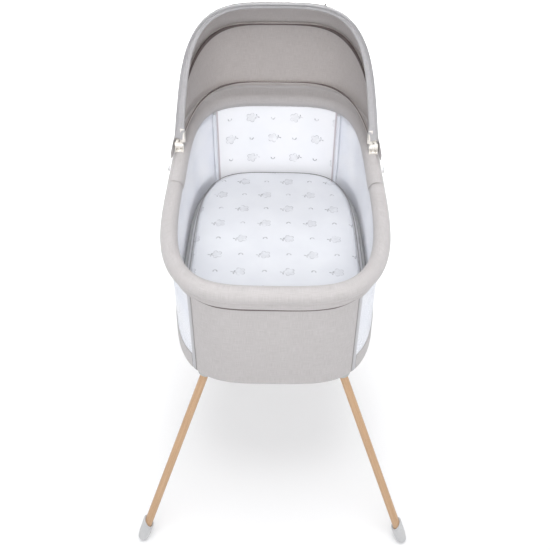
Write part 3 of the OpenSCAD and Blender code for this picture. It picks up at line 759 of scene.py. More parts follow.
# cloth sleeves over the four uprights
sleeve_low, sleeve_high = box("upright_sleeves")
for k, t in enumerate((SIDE_T, 180 - SIDE_T, 180 + SIDE_T, 360 - SIDE_T)):
    xy = outline(t, -7.5 * MM)
    levels = np.linspace(sleeve_low[2], sleeve_high[2], 24)
    sleeve = sweep(f"upright_sleeve_{k + 1}", np.column_stack([np.tile(xy, (24, 1)), levels]),
        np.tile([1, 0, 0], (24, 1)), np.tile([0, 1, 0], (24, 1)), rolled_profile(6.3 * MM, 0.7 * MM))
    shift(sleeve, lambda co: np.column_stack([(co[:, :2] - xy) * (0.05 * uneven(co, 90, k))[:, None],
        0 * co[:, 2]]))
    dress(sleeve, NET, "basket", "upright_sleeves")


# ---- padded rim ---------------------------------------------------------------------


def rim_frames(ts):
    """Centres, outward and upward axes of the rim at angles ts."""
    base = outline(ts)
    away = outline(ts, 1.0) - base
    z = np.zeros(len(ts))
    return np.column_stack([base, z + RIM_Z]), np.column_stack([away, z]), np.column_stack([z, z, z + 1])


def rim_parts(co):
    """Angle along the outline, angle round the rim's section (0 outwards, 90 up) and radius of points."""
    t = t_of_point(co[:, 0], co[:, 1])
    base = outline(t)
    away = outline(t, 1.0) - base
    out = np.einsum("ij,ij->i", co[:, :2] - base, away)
    return t, np.degrees(np.arctan2(co[:, 2] - RIM_Z, out)), np.hypot(out, co[:, 2] - RIM_Z), away


def inflate(piece, voxel, pressure, cap, steps=16):
    """Swell a closed padded piece with a short cloth simulation; no point moves further than cap."""
    remesh = piece.modifiers.new("even_mesh", "REMESH")
    remesh.mode, remesh.voxel_size = "VOXEL", voxel
    bake(piece)
    start = np.array([v.co for v in piece.data.vertices])
    cloth = piece.modifiers.new("swell", "CLOTH")
    cloth.settings.use_pressure = True
    cloth.settings.uniform_pressure_force = pressure
    cloth.settings.effector_weights.gravity = 0
    cloth.settings.tension_stiffness = cloth.settings.compression_stiffness = 25
    for frame_number in range(1, steps + 1):
        bpy.context.scene.frame_set(frame_number)
    bake(piece)
    bpy.context.scene.frame_set(1)
    co = np.array([v.co for v in piece.data.vertices])
    step = co - start
    length = np.linalg.norm(step, axis=1)[:, None]
    co = start + step * np.minimum(1, cap / np.maximum(length, 1e-9))
    piece.data.vertices.foreach_set("co", co.ravel())
    for face in piece.data.polygons:
        face.use_smooth = True
    return piece


def rewrap(piece, unwrap, turn=None):
    """Lay cloth UVs in metres on a piece from its points; turn is the length at which u closes on
    itself."""
    co = np.array([v.co for v in piece.data.vertices])
    flat = unwrap(co)
    old = piece.data.uv_layers.get("cloth")
    if old:
        piece.data.uv_layers.remove(old)
    layer = piece.data.uv_layers.new(name="cloth")
    corners = np.empty(len(piece.data.loops), int)
    piece.data.loops.foreach_get("vertex_index", corners)
    uv = flat[corners].copy()
    if turn:
        for face in piece.data.polygons:
            span = slice(face.loop_start, face.loop_start + face.loop_total)
            for axis, length in enumerate(turn):
                if length and np.ptp(uv[span, axis]) > length / 2:
                    uv[span, axis] = np.where(uv[span, axis] < length / 2, uv[span, axis] + length,
                        uv[span, axis])
    layer.data.foreach_set("uv", uv.astype(np.float32).ravel())
    return piece


def pucker_rim(co):
    """Seam drawn in along the bottom of the rim, small gathers fading out from it, and faint lumps in
    the padding."""
    t, turn, _, away = rim_parts(co)
    s = arc_at(t)
    low = np.mod(turn + 90 + 180, 360) - 180
    seam = np.exp(-((low / 9) ** 2))
    near = np.exp(-((low / 42) ** 2))
    waves = np.sin(s * 2 * math.pi / 0.031 + 2.2 * np.sin(s * 9)) * 0.5 + np.sin(s * 2 * math.pi / 0.0173
        + 1.7 * np.sin(s * 14))
    lumps = uneven(co, 9, 3) * 0.5 + uneven(co, 26, 7) * 0.25
    change = MM * (-1.7 * seam - 0.55 * near * (waves + 1.2) * 0.5 + 0.55 * lumps - 0.25)
    ring = np.radians(turn)
    return np.column_stack([away * (np.cos(ring) * change)[:, None], np.sin(ring) * change])


ts = stations(0, 359.999, 9 * MM)[:-1]
centres, outs, ups = rim_frames(ts)
roll = sweep("rim_roll", centres, outs, ups,
    round_profile(ROLL_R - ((0.8 * MM)), 40), closed=True)
inflate(roll, 5 * MM, 4, 1.2 * MM)
even = roll.modifiers.new("even", "SUBSURF")
even.levels = even.render_levels = 1
bake(roll)
shift(roll, pucker_rim)
rewrap(roll, lambda co: np.column_stack([arc_at(rim_parts(co)[0]),
    np.radians(np.mod(rim_parts(co)[1] + 90, 360)) * ROLL_R]),
    (ROUND, 2 * math.pi * ROLL_R))
dress(roll, CLOTH, "basket", ("rim_cover", "rim_foam"))

# ---- mattress in its fitted sheet -----------------------------------------------------

SHEET_EDGE = -25.5 * MM
SHEET_ROUND = 11 * MM
sheet_mid = (sheet_low[2] + sheet_high[2]) / 2


def sheet_shape(name, inset, low, high, crown):
    """Closed pad that fills the outline, its edges rounded and its top slightly crowned."""
    ts = stations(0, 359.999, 9 * MM)[:-1]
    corner = SHEET_ROUND
    rows = []
    for turn in np.linspace(-90, 90, 13):
        q = math.radians(turn)
        z = (high - corner if turn > 0 else low + corner) + corner * math.sin(q)
        rows.append((inset - corner + corner * math.cos(q), z, 1.0))
    levels = [(inset - corner, low, k) for k in np.linspace(0.0, 1, 24)[:-1]] + rows
    levels += [(inset - corner, high, k) for k in np.linspace(1, 0.0, 44)[1:]]
    points = []
    for d, z, k in levels:
        xy = outline(ts, d) * max(k, 0.004)
        rise = crown * (1 - k**4) if z > sheet_mid else 0
        points.append(np.column_stack([xy, np.full(len(ts), z + rise)]))
    points = np.array(points)
    uv = np.zeros((points.shape[0], points.shape[1] + 1, 2))
    return grid(name, points, uv, (False, True), caps=True, sharp=180)


def unroll_sheet(co):
    """Cloth coordinates of the sheet: flat on the top, carried on down the sides."""
    t = t_of_point(co[:, 0], co[:, 1])
    away = outward(t)
    drop = np.clip(sheet_high[2] - 4 * MM - co[:, 2], 0, 1)
    return co[:, :2] + away * drop[:, None] + np.array([0.031, 0.012])


def soften_sheet(co):
    """Long shallow creases of a sheet pulled over a mattress, deeper towards the corners."""
    top = np.clip((co[:, 2] - sheet_mid) / (sheet_high[2] - sheet_mid), 0, 1) ** 2
    t = t_of_point(co[:, 0], co[:, 1])
    reach = np.clip(np.hypot(co[:, 0] / HALF_W, co[:, 1] / HALF_L), 0, 1)
    folds = np.sin(t / 360 * 2 * math.pi * 23 + 2.5 * np.sin(np.radians(t) * 4)) * np.clip(reach - 0.72, 0,
        1) * 3.2
    broad = uneven(co * np.array([1, 0.6, 1]), 5, 11) * 1.1 + uneven(co * np.array([1, 0.5, 1]), 15,
        5) * 0.5
    return np.column_stack([0 * co[:, :2], MM * top * (0.7 * folds + broad - 0.5)])


sheet = sheet_shape("mattress_sheet", SHEET_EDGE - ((1 * MM)), sheet_low[2],
    sheet_high[2] - 1.5 * MM, 1.5 * MM)
inflate(sheet, 6 * MM, 3, 2.0 * MM)
even = sheet.modifiers.new("even", "SUBSURF")
even.levels = even.render_levels = 1
bake(sheet)
shift(sheet, soften_sheet)
rewrap(sheet, unroll_sheet)
dress(sheet, SHEET_COTTON, "mattress", ("fitted_sheet", "mattress_core"))
ts = stations(0, 359.999, 6 * MM)[:-1]
for name, z, r in (("mattress_piping_top", sheet_high[2] - 7 * MM, 1.1 * MM),
        ("mattress_piping_low", sheet_low[2] + 5 * MM, 1.2 * MM)):
    base = outline(ts, SHEET_EDGE - 0.2 * MM)
    away = outward(ts)
    zero = np.zeros(len(ts))
    cord = sweep(name, np.column_stack([base, zero + z]), np.column_stack([away, zero]),
        np.column_stack([zero, zero, zero + 1]), round_profile(r, 10), closed=True)
    dress(cord, GREY_CORD if name.endswith("top") else COTTON, "mattress", ())

# ---- floor of the basket ---------------------------------------------------------------

ts = stations(0, 359.999, 10 * MM)[:-1]
rows = []
for k in np.linspace(0.0, 1, 16)[:-1]:
    rows.append((0.0, BASE_Z + 0.2 * MM + 0.8 * MM * (1 - k) ** 2, max(k, 0.004)))
rows += [(0.0, BASE_Z, 1.0), (0.7 * MM, BASE_Z + 0.4 * MM, 1.0), (0.9 * MM, BASE_Z + 1.2 * MM, 1.0),
    (0.4 * MM, BASE_Z + 1.9 * MM, 1.0)]
rows += [(-1.2 * MM, BASE_Z + 2 * MM, k) for k in np.linspace(1, 0, 12)]
points = np.array([np.column_stack([outline(ts, d) * max(k, 0.004), np.full(len(ts), z)]) for d, z,
    k in rows])
floor_cloth = grid("basket_floor_cloth", points, np.zeros((points.shape[0], points.shape[1] + 1, 2)),
    (False, True), caps=True)
rewrap(floor_cloth, lambda co: co[:, :2])
dress(floor_cloth, CLOTH, "basket", "bottom_fabric")

# ---- canopy --------------------------------------------------------------------------------

CLOTH_LOW = 15 * MM


def arch_x(a, h):
    _, w, tall, taper, side, top = a
    share = np.clip(h / tall, 0, 1)
    return w * (1 - taper * share) * np.clip(1 - share**top, 0, 1) ** (1 / side)


def arch(a, low, n):
    """Points (x, height) over an arch from the left foot to the right, evenly spaced, low metres above
    the hinge."""
    i = np.linspace(0, 1, 1500) ** 2.2
    h = low + (a[2] - low) * np.cos(i[::-1] * math.pi / 2)
    x = arch_x(a, h)
    x[-1] = 0.0
    left = np.column_stack([-x, h])
    right = np.column_stack([x, h])[::-1][1:]
    line = np.concatenate([left, right])
    run = np.concatenate([[0], np.cumsum(np.linalg.norm(np.diff(line, axis=0), axis=1))])
    s = np.linspace(0, run[-1], n)
    return np.column_stack([np.interp(s, run, line[:, 0]), np.interp(s, run, line[:, 1])])


def leaned(flat, lean):
    """Points (x, height) of an arch leaning back by lean degrees, in space."""
    q = math.radians(lean)
    return np.column_stack([flat[:, 0], HINGE_Y + flat[:, 1] * math.sin(q),
        HINGE_Z + flat[:, 1] * math.cos(q)])


def between(a, b, k):
    return tuple(p * (1 - k) + q * k for p, q in zip(a, b))


def swell(a, t):
    """An arch moved outwards by t."""
    return (a[0], a[1] + t, a[2] + t, *a[3:])


def canopy_cloth(name, first, last, lean_gap, sag, rows=26, cols=150, lift=0.0):
    """Cloth from one bow's arch to the next, drawn in between the bows; its inner face takes a warmer copy
    of the cloth whose tone paints the light and shade under the canopy."""
    n = cols
    layers = []
    for t in (lift, lift + SKIN):
        layer = []
        for i in range(rows + 1):
            k = i / rows
            a = swell(between(first, last, k), t)
            lean = first[0] * (1 - k) + last[0] * k + (lean_gap if i == 0 else -lean_gap
                if i == rows else 0)
            flat = arch(a, CLOTH_LOW, n)
            f = np.linspace(0, 1, n)
            hold = np.sin(math.pi * f) ** 0.6
            shoulder = np.exp(-(((np.abs(f - 0.5) - 0.24) / 0.08) ** 2))
            drawn = sag * math.sin(math.pi * k) ** 0.8 * hold * (1 + 0.25 * shoulder)
            flat = flat * (1 - drawn / np.maximum(np.linalg.norm(flat, axis=1), 0.05))[:, None]
            layer.append(leaned(flat, lean))
        layers.append(np.array(layer))
    inner, outer = layers
    ring = np.concatenate([outer, inner[::-1]])
    run = np.concatenate([[0], np.cumsum(np.linalg.norm(np.diff(ring[:, n // 2], axis=0), axis=1)), [0]])
    run[-1] = run[-2] + SKIN
    across = np.concatenate([[0], np.cumsum(np.linalg.norm(np.diff(outer[0], axis=0), axis=1))])
    uv = np.stack(np.meshgrid(run, across, indexing="ij"), -1)[..., ::-1]
    piece = grid(name, ring, uv, (True, False), sharp=70)
    close_ends(piece)
    shift(piece, lambda co: tight_folds(co, first[0], last[0]))
    middle = np.array([0, HINGE_Y, HINGE_Z])
    piece.data.materials.clear()
    piece.data.materials.append(CLOTH)
    piece.data.materials.append(CANOPY_INNER_PAINTED_TONE)
    # inner faces take the painted inner tone, outer faces the plain cloth
    for face in piece.data.polygons:
        face.material_index = 0 if (np.array(face.center) - middle) @ np.array(face.normal) > 0 else 1
    return piece


def close_ends(piece):
    work = bmesh.new()
    work.from_mesh(piece.data)
    bmesh.ops.holes_fill(work, edges=[e for e in work.edges if e.is_boundary], sides=0)
    bmesh.ops.recalc_face_normals(work, faces=work.faces)
    work.to_mesh(piece.data)
    work.free()


def lean_of(co):
    return np.degrees(np.arctan2(co[:, 1] - HINGE_Y, co[:, 2] - HINGE_Z))


def tight_folds(co, lean0, lean1):
    """Soft pulls that run from the bows' feet up the sides of the canopy, and broad unevenness over its
    top."""
    k = np.clip((lean_of(co) - lean0) / (lean1 - lean0), 0, 1)
    reach = np.hypot(co[:, 1] - HINGE_Y, co[:, 2] - HINGE_Z)
    free = np.sin(math.pi * k)
    low = np.clip(1 - reach / 0.26, 0, 1)
    pulls = np.sin(k * 2 * math.pi * 3.5 + 9 * reach) * low * 2.4
    broad = uneven(co, 7, 21) * 1.6 + uneven(co, 19, 4) * 0.6
    side = np.sign(co[:, 0]) * np.clip(np.abs(co[:, 0]) / 0.25, 0, 1) ** 4
    up = np.clip((co[:, 2] - HINGE_Z) / 0.3, 0, 1)
    change = MM * free * (pulls + broad)
    return np.column_stack([side * change, 0 * change, up * change * 0.6])


def bend_by_lean(piece):
    """Bake the piece's placement into its points."""
    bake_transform(piece)
    return piece


def arch_length(a, low=CLOTH_LOW):
    line = arch(a, low, 200)
    return float(np.linalg.norm(np.diff(line, axis=0), axis=1).sum())


front = canopy_cloth("canopy_front_cloth", FRONT_CLOTH, MID_CLOTH, 0.1, 6 * MM)
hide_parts("canopy_front_panel")
bend_by_lean(front)
rear = canopy_cloth("canopy_rear_cloth", MID_CLOTH, (REAR_CLOTH[0] + 2.3, *REAR_CLOTH[1:]), 0.3, 7 * MM)
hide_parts("canopy_rear_panel")
bend_by_lean(rear)
for piece, a, b in ((front, FRONT_CLOTH, MID_CLOTH), (rear, MID_CLOTH, REAR_CLOTH)):
    wide = max(arch_length(a), arch_length(b))
    line = arch(between(a, b, 0.5), CLOTH_LOW, 200)


def bow_casing(name, a, low, r, n=150):
    """Cloth tunnel sewn round a bow, its seam turned out to the canopy."""
    line = leaned(arch(a, low, n), a[0])
    q = math.radians(a[0])
    back = np.tile([0, math.cos(q), -math.sin(q)], (n, 1))
    return sweep(name, line, np.cross(back, axes_along(line)), back, rolled_profile(r, 0.7 * MM))


def on_arch(a, lean, low, n, lift=0.0):
    """Points along a leaning arch with the directions out of it and back along the canopy."""
    flat = arch(swell(a, lift), low, n)
    line = leaned(flat, lean)
    q = math.radians(lean)
    back = np.tile([0, math.cos(q), -math.sin(q)], (n, 1))
    out = np.cross(axes_along(line), -back)
    out *= np.sign(np.einsum("ij,ij->i", out, line - np.array([0, HINGE_Y, HINGE_Z])))[:, None]
    return line, out, back


# plump hem along the canopy's front edge: it wraps the front bow and the sockets of its ends
line, out, back = on_arch(FRONT_CLOTH, FRONT_CLOTH[0], 22 * MM, 170)
bow_line = leaned(arch(FRONT_BOW, 22 * MM, 170), FRONT_BOW[0])
reach = np.hypot(line[:, 1] - HINGE_Y, line[:, 2] - HINGE_Z)


def hem_section(f):
    """Section of the hem at a share f of its length: out at the cloth's edge, in round the bow."""
    i = f * (len(line) - 1)
    j = int(round(i))
    gap = (bow_line[j] - line[j])
    inward = float(-(gap @ out[j]))
    swing = math.radians(turn_back) * reach[j]
    r = 5.9 * MM + 2.4 * MM * np.clip((60 * MM - reach[j]) / (12 * MM), 0, 1)
    turn = np.radians(np.linspace(80, 280, 15))
    bow = np.column_stack([-inward + r * np.cos(turn), -r * np.sin(turn)])
    front_side = np.array([[-0.7 * MM, -swing * 0.86], [-2.0 * MM, -swing * 0.8]])
    rear_side = np.array([[-1.6 * MM, 0.6 * MM], [-0.5 * MM, 0.2 * MM]])
    return np.concatenate([rear_side[::-1], bow * [1, 1], front_side[::-1]])


turn_back = math.degrees(math.asin(17 * MM / FRONT_CLOTH[2]))
hem = sweep("front_edge_hem", line, out, back, hem_section, sharp=75)
shift(hem, lambda co: np.column_stack([0 * co[:, :2], 0.3 * MM * uneven(co, 45, 2)]))
dress(hem, EDGE_CLOTH, "canopy_front", ())

turn = math.radians(145)
radii = 5.9 * MM + 2.9 * MM * np.clip((60 * MM - reach) / (12 * MM), 0, 1) + 0.4 * MM
path = bow_line + radii[:, None] * (math.cos(turn) * out - math.sin(turn) * back)
seam = sweep("front_hem_seam", path, out, back, round_profile(0.7 * MM, 8))
dress(seam, GREY_CORD, "canopy_front", ())

# cloth casings over the middle and rear bows in the canopy's inner painted tone, each with a dark cord
# along its inner side that paints the shade line under the casing's edge
casing = bow_casing("mid_bow_casing", MID_BOW, 52 * MM, 5.9 * MM)
dress(casing, CANOPY_INNER_PAINTED_TONE, "canopy_mid", ())
arch_length(MID_BOW, 52 * MM)
casing = bow_casing("rear_bow_casing", REAR_BOW, 60 * MM, 5.0 * MM)
dress(casing, CANOPY_INNER_PAINTED_TONE, "basket", ())
arch_length(REAR_BOW, 60 * MM)


def painted_shade_cord(name, a, body, lift, forward, thin, thick, low):
    """Dark cord along a bow's casing that paints the shade line under the casing's edge, fuller where the
    canopy turns its shoulders and that painted shade is widest.
    """
    path, away, back = on_arch(a, a[0], low, 150)
    path = path - away * lift - back * forward
    f = np.linspace(0, 1, 150)
    full = np.exp(-(((np.abs(f - 0.5) - 0.22) / 0.1) ** 2))
    piece = sweep(name, path, away, back,
        lambda k: round_profile(thin + (thick - thin) * float(np.interp(k, f, full)), 10))
    return dress(piece, ZIP_AND_SHADE_DARK, body, ())


# dark cords that paint the shade line along the middle and rear bow casings
painted_shade_cord("mid_bow_cord", MID_BOW, "canopy_mid", 3.2 * MM, 4.0 * MM, 2.2 * MM, 5.2 * MM, 54 * MM)
painted_shade_cord("rear_bow_cord", REAR_BOW, "basket", 2.6 * MM, 3.0 * MM, 1.6 * MM, 3.0 * MM, 62 * MM)

# light band along the front edge, the zip behind it and its slider
line, out, back = on_arch(FRONT_CLOTH, FRONT_CLOTH[0] - turn_back / 2 - 0.1, CLOTH_LOW, 170, 0.9 * MM)


def edge_section(f):
    """The band is as wide as the bow's sweep at each place, with a plump rolled front edge."""
    reach = np.interp(f * (len(line) - 1), np.arange(len(line)),
        np.hypot(line[:, 1] - HINGE_Y, line[:, 2] - HINGE_Z))
    w = max(2 * math.sin(math.radians(turn_back / 2)) * reach, 1.5 * MM)
    k = np.linspace(-0.5, 0.5, 7)
    plump = (0.9 + 1.1 * np.exp(-(((k + 0.42) / 0.2) ** 2))) * MM
    top = np.column_stack([plump, k * w])
    low = np.column_stack([-0.9 * MM - 0 * k, -k * w])
    return np.concatenate([top, low])


edge = sweep("canopy_edge_band", line, out, back, edge_section)
dress(edge, EDGE_CLOTH, "canopy_front", "canopy_edge_binding")
for name, share in (("edge_stitches_front", -0.28), ("edge_stitches_rear", 0.4)):
    path, away, _ = on_arch(FRONT_CLOTH, FRONT_CLOTH[0] - turn_back / 2 - 0.1 + share * turn_back, 30 * MM,
        170, 1.9 * MM)
    dress(stitches(name, path, away), THREAD, "canopy_front")
ZIP_LOW = 70 * MM
path, away, back = on_arch(FRONT_CLOTH, FRONT_CLOTH[0] + 0.35, ZIP_LOW, 200, 1.5 * MM)
tape = sweep("zip_tape", path, back, away, strip_profile(4.6 * MM, 0.8 * MM, 2))
dress(tape, ZIP_AND_SHADE_DARK, "canopy_front", ())
run = np.concatenate([[0], np.cumsum(np.linalg.norm(np.diff(path, axis=0), axis=1))])
verts, faces, uvs = [], [], []
cube = [(-1, -1, -1), (1, -1, -1), (1, 1, -1), (-1, 1, -1), (-1, -1, 1), (1, -1, 1), (1, 1, 1), (-1, 1, 1)]
sides = [(0, 3, 2, 1), (4, 5, 6, 7), (0, 1, 5, 4), (1, 2, 6, 5), (2, 3, 7, 6), (3, 0, 4, 7)]
ahead = axes_along(path)
for i, s in enumerate(np.arange(1 * MM, run[-1] - 1 * MM, 2.4 * MM)):
    c, a, b, w = ([np.interp(s, run, arr[:, k]) for k in range(3)] for arr in (path, ahead, back, away))
    c, a, b, w = (np.array(x) for x in (c, a, b, w))
    base = len(verts)
    verts += [c + a * x * 0.55 * MM + b * (y * 1.0 * MM + (0.45 * MM if i % 2 else -0.45 * MM))
        + w * (0.6 * MM + z * 0.45 * MM) for x, y, z in cube]
    faces += [tuple(base + k for k in side) for side in sides]
    uvs += [(0, 0), (0.001, 0), (0.001, 0.001), (0, 0.001)] * 6
teeth = make_mesh("zip_teeth", verts, faces, uvs)
dress(teeth, ZIP_AND_SHADE_DARK, "canopy_front")
arch_length(FRONT_CLOTH)


def rounded_plate(name, outline_points, thick, bevel=0.6 * MM):
    """Plate of a given outline in its own plane, centred on z = 0, with rounded edges."""
    pts = np.asarray(outline_points, float)
    n = len(pts)
    rows = []
    centre = pts.mean(axis=0)
    for z, inset in ((-0.5, 1), (-0.5 + 0.3 * bevel / thick, 0.3), (-0.5 + bevel / thick, 0),
            (0.5 - bevel / thick, 0), (0.5 - 0.3 * bevel / thick, 0.3), (0.5, 1)):
        away = (pts - centre) / np.linalg.norm(pts - centre, axis=1)[:, None]
        rows.append(np.column_stack([pts - away * inset * bevel, np.full(n, z * thick)]))
    uv = np.zeros((len(rows), n + 1, 2))
    piece = grid(name, np.array(rows), uv, (False, True), caps=True, sharp=40)
    return piece


def oval(w, h, n=28, power=2.4, x=0.0, y=0.0):
    turn = np.linspace(0, 2 * math.pi, n, endpoint=False)
    return np.column_stack([x + w / 2 * signed_power(np.cos(turn), 2 / power),
        y + h / 2 * signed_power(np.sin(turn), 2 / power)])


def place(piece, origin, x_axis, z_axis):
    """Turn a piece so that its own x and z run along two given directions, and move it to a point."""
    z = Vector(z_axis).normalized()
    x = Vector(x_axis)
    x = (x - z * x.dot(z)).normalized()
    y = z.cross(x)
    turned = Matrix((x, y, z)).transposed().to_4x4()
    turned.translation = Vector(origin)
    piece.data.transform(turned)
    return piece


pull_low, pull_high = box("zip_pull")
pull_at = (pull_low + pull_high) / 2
slot_i = int(np.argmin(np.linalg.norm(path - pull_at, axis=1)))
slider = rounded_plate("zip_slider", oval(7 * MM, 8.5 * MM, power=3), 2.6 * MM)
place(slider, path[slot_i] + away[slot_i] * 1.6 * MM, ahead[slot_i], away[slot_i])
dress(slider, STEEL, "canopy_front", "zip_pull")
tab = rounded_plate("zip_pull_tab", oval(4.4 * MM, 15 * MM, power=2.6), 1.3 * MM, 0.4 * MM)
place(tab, path[slot_i] + away[slot_i] * 3.4 * MM + back[slot_i] * 6.5 * MM, ahead[slot_i], away[slot_i])
dress(tab, ZIP_AND_SHADE_DARK, "canopy_front", ())

# skirt round the head end, from the canopy down to the rim, and the apron over the padded rim
t_front = t_at_y(skirt_low[1] + 1 * MM)
ts = stations(t_front, 180 - t_front, 9 * MM)
skirt_mid = 18 * MM
base = outline(ts, skirt_mid)
away = outward(ts)
zero = np.zeros(len(ts))
along = np.abs(np.linspace(-1, 1, len(ts)))
tall = (skirt_high[2] - skirt_low[2])


def skirt_section(f):
    """The skirt stands full height round the back and tapers to a tab at each front corner."""
    share = abs(2 * f - 1)
    keep = 1 - 0.45 * np.clip((share - 0.93) / 0.07, 0, 1) ** 1.5
    return strip_profile(tall, SKIN, 8) * [keep, 1] + [(1 - keep) * tall * 0.35, 0]


skirt = sweep("canopy_skirt_cloth", np.column_stack([base, zero + (skirt_low[2] + skirt_high[2]) / 2]),
    np.column_stack([zero, zero, zero + 1]), np.column_stack([away, zero]), skirt_section)
shift(skirt, lambda co: np.column_stack([(outline(t_of_point(co[:, 0], co[:, 1]), 1.0)
    - outline(t_of_point(co[:, 0], co[:, 1])))
    * (0.8 * MM * np.sin(arc_at(t_of_point(co[:, 0], co[:, 1])) * 2 * math.pi / 0.083)
    * np.clip((co[:, 2] - skirt_low[2]) / tall, 0, 1)
    * np.clip((skirt_high[2] - co[:, 2]) / tall, 0, 1) * 2)[:, None], 0 * co[:, 2]]))
dress(skirt, CLOTH, "basket", "canopy_skirt")
low_row = skirt_low[2] + 3 * MM
path = np.column_stack([outline(ts[2:-2], skirt_mid + 0.75 * MM), zero[2:-2] + low_row])
dress(stitches("skirt_stitches", path, np.column_stack([away, zero])[2:-2]), THREAD, "basket")

t_apron = t_at_y(apron_low[1] + 1 * MM)
ts = stations(t_apron, 180 - t_apron, 8 * MM)
centres, outs, ups = rim_frames(ts)
turns = np.radians(np.linspace(65, 190, 40))
climb = np.clip((centres[:, 1] - HINGE_Y - 60 * MM) / (60 * MM), 0, 1)
climb = climb * climb * (3 - 2 * climb)


def apron_face(r):
    """The apron's section: over the padded rim, and behind it up the inner face of the skirt."""
    c, q = np.cos(turns), np.sin(turns)
    wrap = np.stack([r * c, r * q], -1)
    top = np.array([skirt_mid - 1.2 * MM - (r - ROLL_R), 32 * MM])
    k = np.clip((turns[None, :] - turns[0]) / math.radians(62), 0, 1)[0][:, None]
    ease = k * k * (3 - 2 * k)
    meet = r * np.array([math.cos(turns[0] + math.radians(62)), math.sin(turns[0] + math.radians(62))])
    hollow = top * (1 - k) + meet * k
    high = hollow * (1 - ease**3) + wrap * ease**3
    shape = wrap[None] * (1 - climb)[:, None, None] + high[None] * climb[:, None, None]
    return centres[:, None] + shape[..., :1] * outs[:, None] + shape[..., 1:] * ups[:, None]


outer = apron_face(ROLL_R + 1.5 * MM)
inner = apron_face(ROLL_R + 0.5 * MM)
ring = np.concatenate([outer, inner[:, ::-1]], axis=1)
run = np.append(np.arange(80) * 1.6 * MM, 80 * 1.6 * MM)
uv = np.stack(np.meshgrid(arc_at(ts) - arc_at(ts[0]), run, indexing="ij"), -1)
apron = grid("canopy_apron_cloth", ring, uv, (False, True), caps=True, sharp=70)
dress(apron, CLOTH, "basket", "canopy_apron")
for name, q in (("apron_hem_in", 186), ("apron_hem_out", 70)):
    q = math.radians(q)
    path = centres + (ROLL_R + 1.45 * MM) * (math.cos(q) * outs + math.sin(q) * ups)
    dress(stitches(name, path[1:-1], (math.cos(q) * outs + math.sin(q) * ups)[1:-1]), THREAD, "basket")

# buttons on the apron's corners and the elastic loops over them
button_low, button_high = box("loop_buttons")
loop_low, loop_high = box("corner_loops")
button_y = (button_low[1] + button_high[1]) / 2
for sign, side in ((-1, "left"), (1, "right")):
    head = rounded_plate(f"corner_button_{side}", oval(9 * MM, 9 * MM, power=2), 1.8 * MM)
    place(head, (sign * (button_high[0] - 0.9 * MM), button_y, RIM_Z), (0, 1, 0), (sign, 0, 0))
    dress(head, CREAM, "basket", "loop_buttons")
    turn = np.linspace(0, 2 * math.pi, 40, endpoint=False)
    loop_at = (loop_low[2] + loop_high[2]) / 2
    x = sign * (loop_high[0] - 0.9 * MM)
    centres = np.column_stack([np.full(40, x), button_y + 7.6 * MM * np.cos(turn),
        loop_at + 9.0 * MM * np.sin(turn)])
    ring_out = np.column_stack([0 * turn, np.cos(turn), np.sin(turn)])
    loop = sweep(f"corner_loop_{side}", centres, ring_out, np.tile([1.0, 0, 0], (40, 1)),
        round_profile(0.9 * MM, 10), closed=True)
    dress(loop, BINDING, "basket", "corner_loops")

# ---- legs and their shoes ----------------------------------------------------------------------

LEG_R = 11 * MM
SHOE_R = LEG_R + 5.5 * MM
TIP_R = LEG_R + 3 * MM
SHOE_LEN = 62 * MM
rail_low, rail_high = box("stand_rail_right")
TOP_X = (rail_low[0] + rail_high[0]) / 2
cross_low, cross_high = box("stand_crossbar_front")
TOP_Y = -(cross_low[1] + cross_high[1]) / 2
foot_mount = frame["record"]["mounts"][0]["pos_m"]
FOOT = np.array([abs(foot_mount[0]), -abs(foot_mount[1]), TIP_R - 1.5 * MM])
TOP = np.array([TOP_X, -TOP_Y, (rail_low[2] + rail_high[2]) / 2])
LEG_Z = (TOP - FOOT) / np.linalg.norm(TOP - FOOT)
level = np.array([LEG_Z[0], LEG_Z[1], 0]) / np.hypot(LEG_Z[0], LEG_Z[1])
LEG_Y = np.array([-level[1], level[0], 0])
LEG_X = np.cross(LEG_Y, LEG_Z)
LEAN_SIN = math.hypot(LEG_Z[0], LEG_Z[1])
LEG_TOP = (rail_low[2] - 0.3 * MM - FOOT[2] - LEG_R * LEAN_SIN) / LEG_Z[2]


def on_corner(local, sx, sy):
    """Points beside the front right leg's own axis, carried to the leg of another corner."""
    world = FOOT + local[..., :1] * LEG_X + local[..., 1:2] * LEG_Y + local[..., 2:] * LEG_Z
    world[..., 2] = np.maximum(world[..., 2], 0)
    return world * [sx, -sy, 1]


def turned_rows(rows, sides):
    """Rows of (radius, height) points round an axis; a height may be a function of the side direction."""
    turn = np.linspace(0, 2 * math.pi, sides, endpoint=False)
    out = []
    for r, z in rows:
        r = max(r, 0.05 * MM)
        out.append(np.column_stack([r * np.cos(turn), r * np.sin(turn), z(turn)
            if callable(z) else np.full(sides, z)]))
    return np.array(out)


def lip_height(turn):
    return SHOE_LEN - TIP_R - SHOE_R * np.sin(turn) * math.tan(math.radians(32))


def share_of_lip(k, drop=0.0):
    """Height a share k of the way from the shoe's round tip to its slanting lip, less a drop."""
    return lambda turn: 14 * MM + k * (lip_height(turn) - drop - 14 * MM)


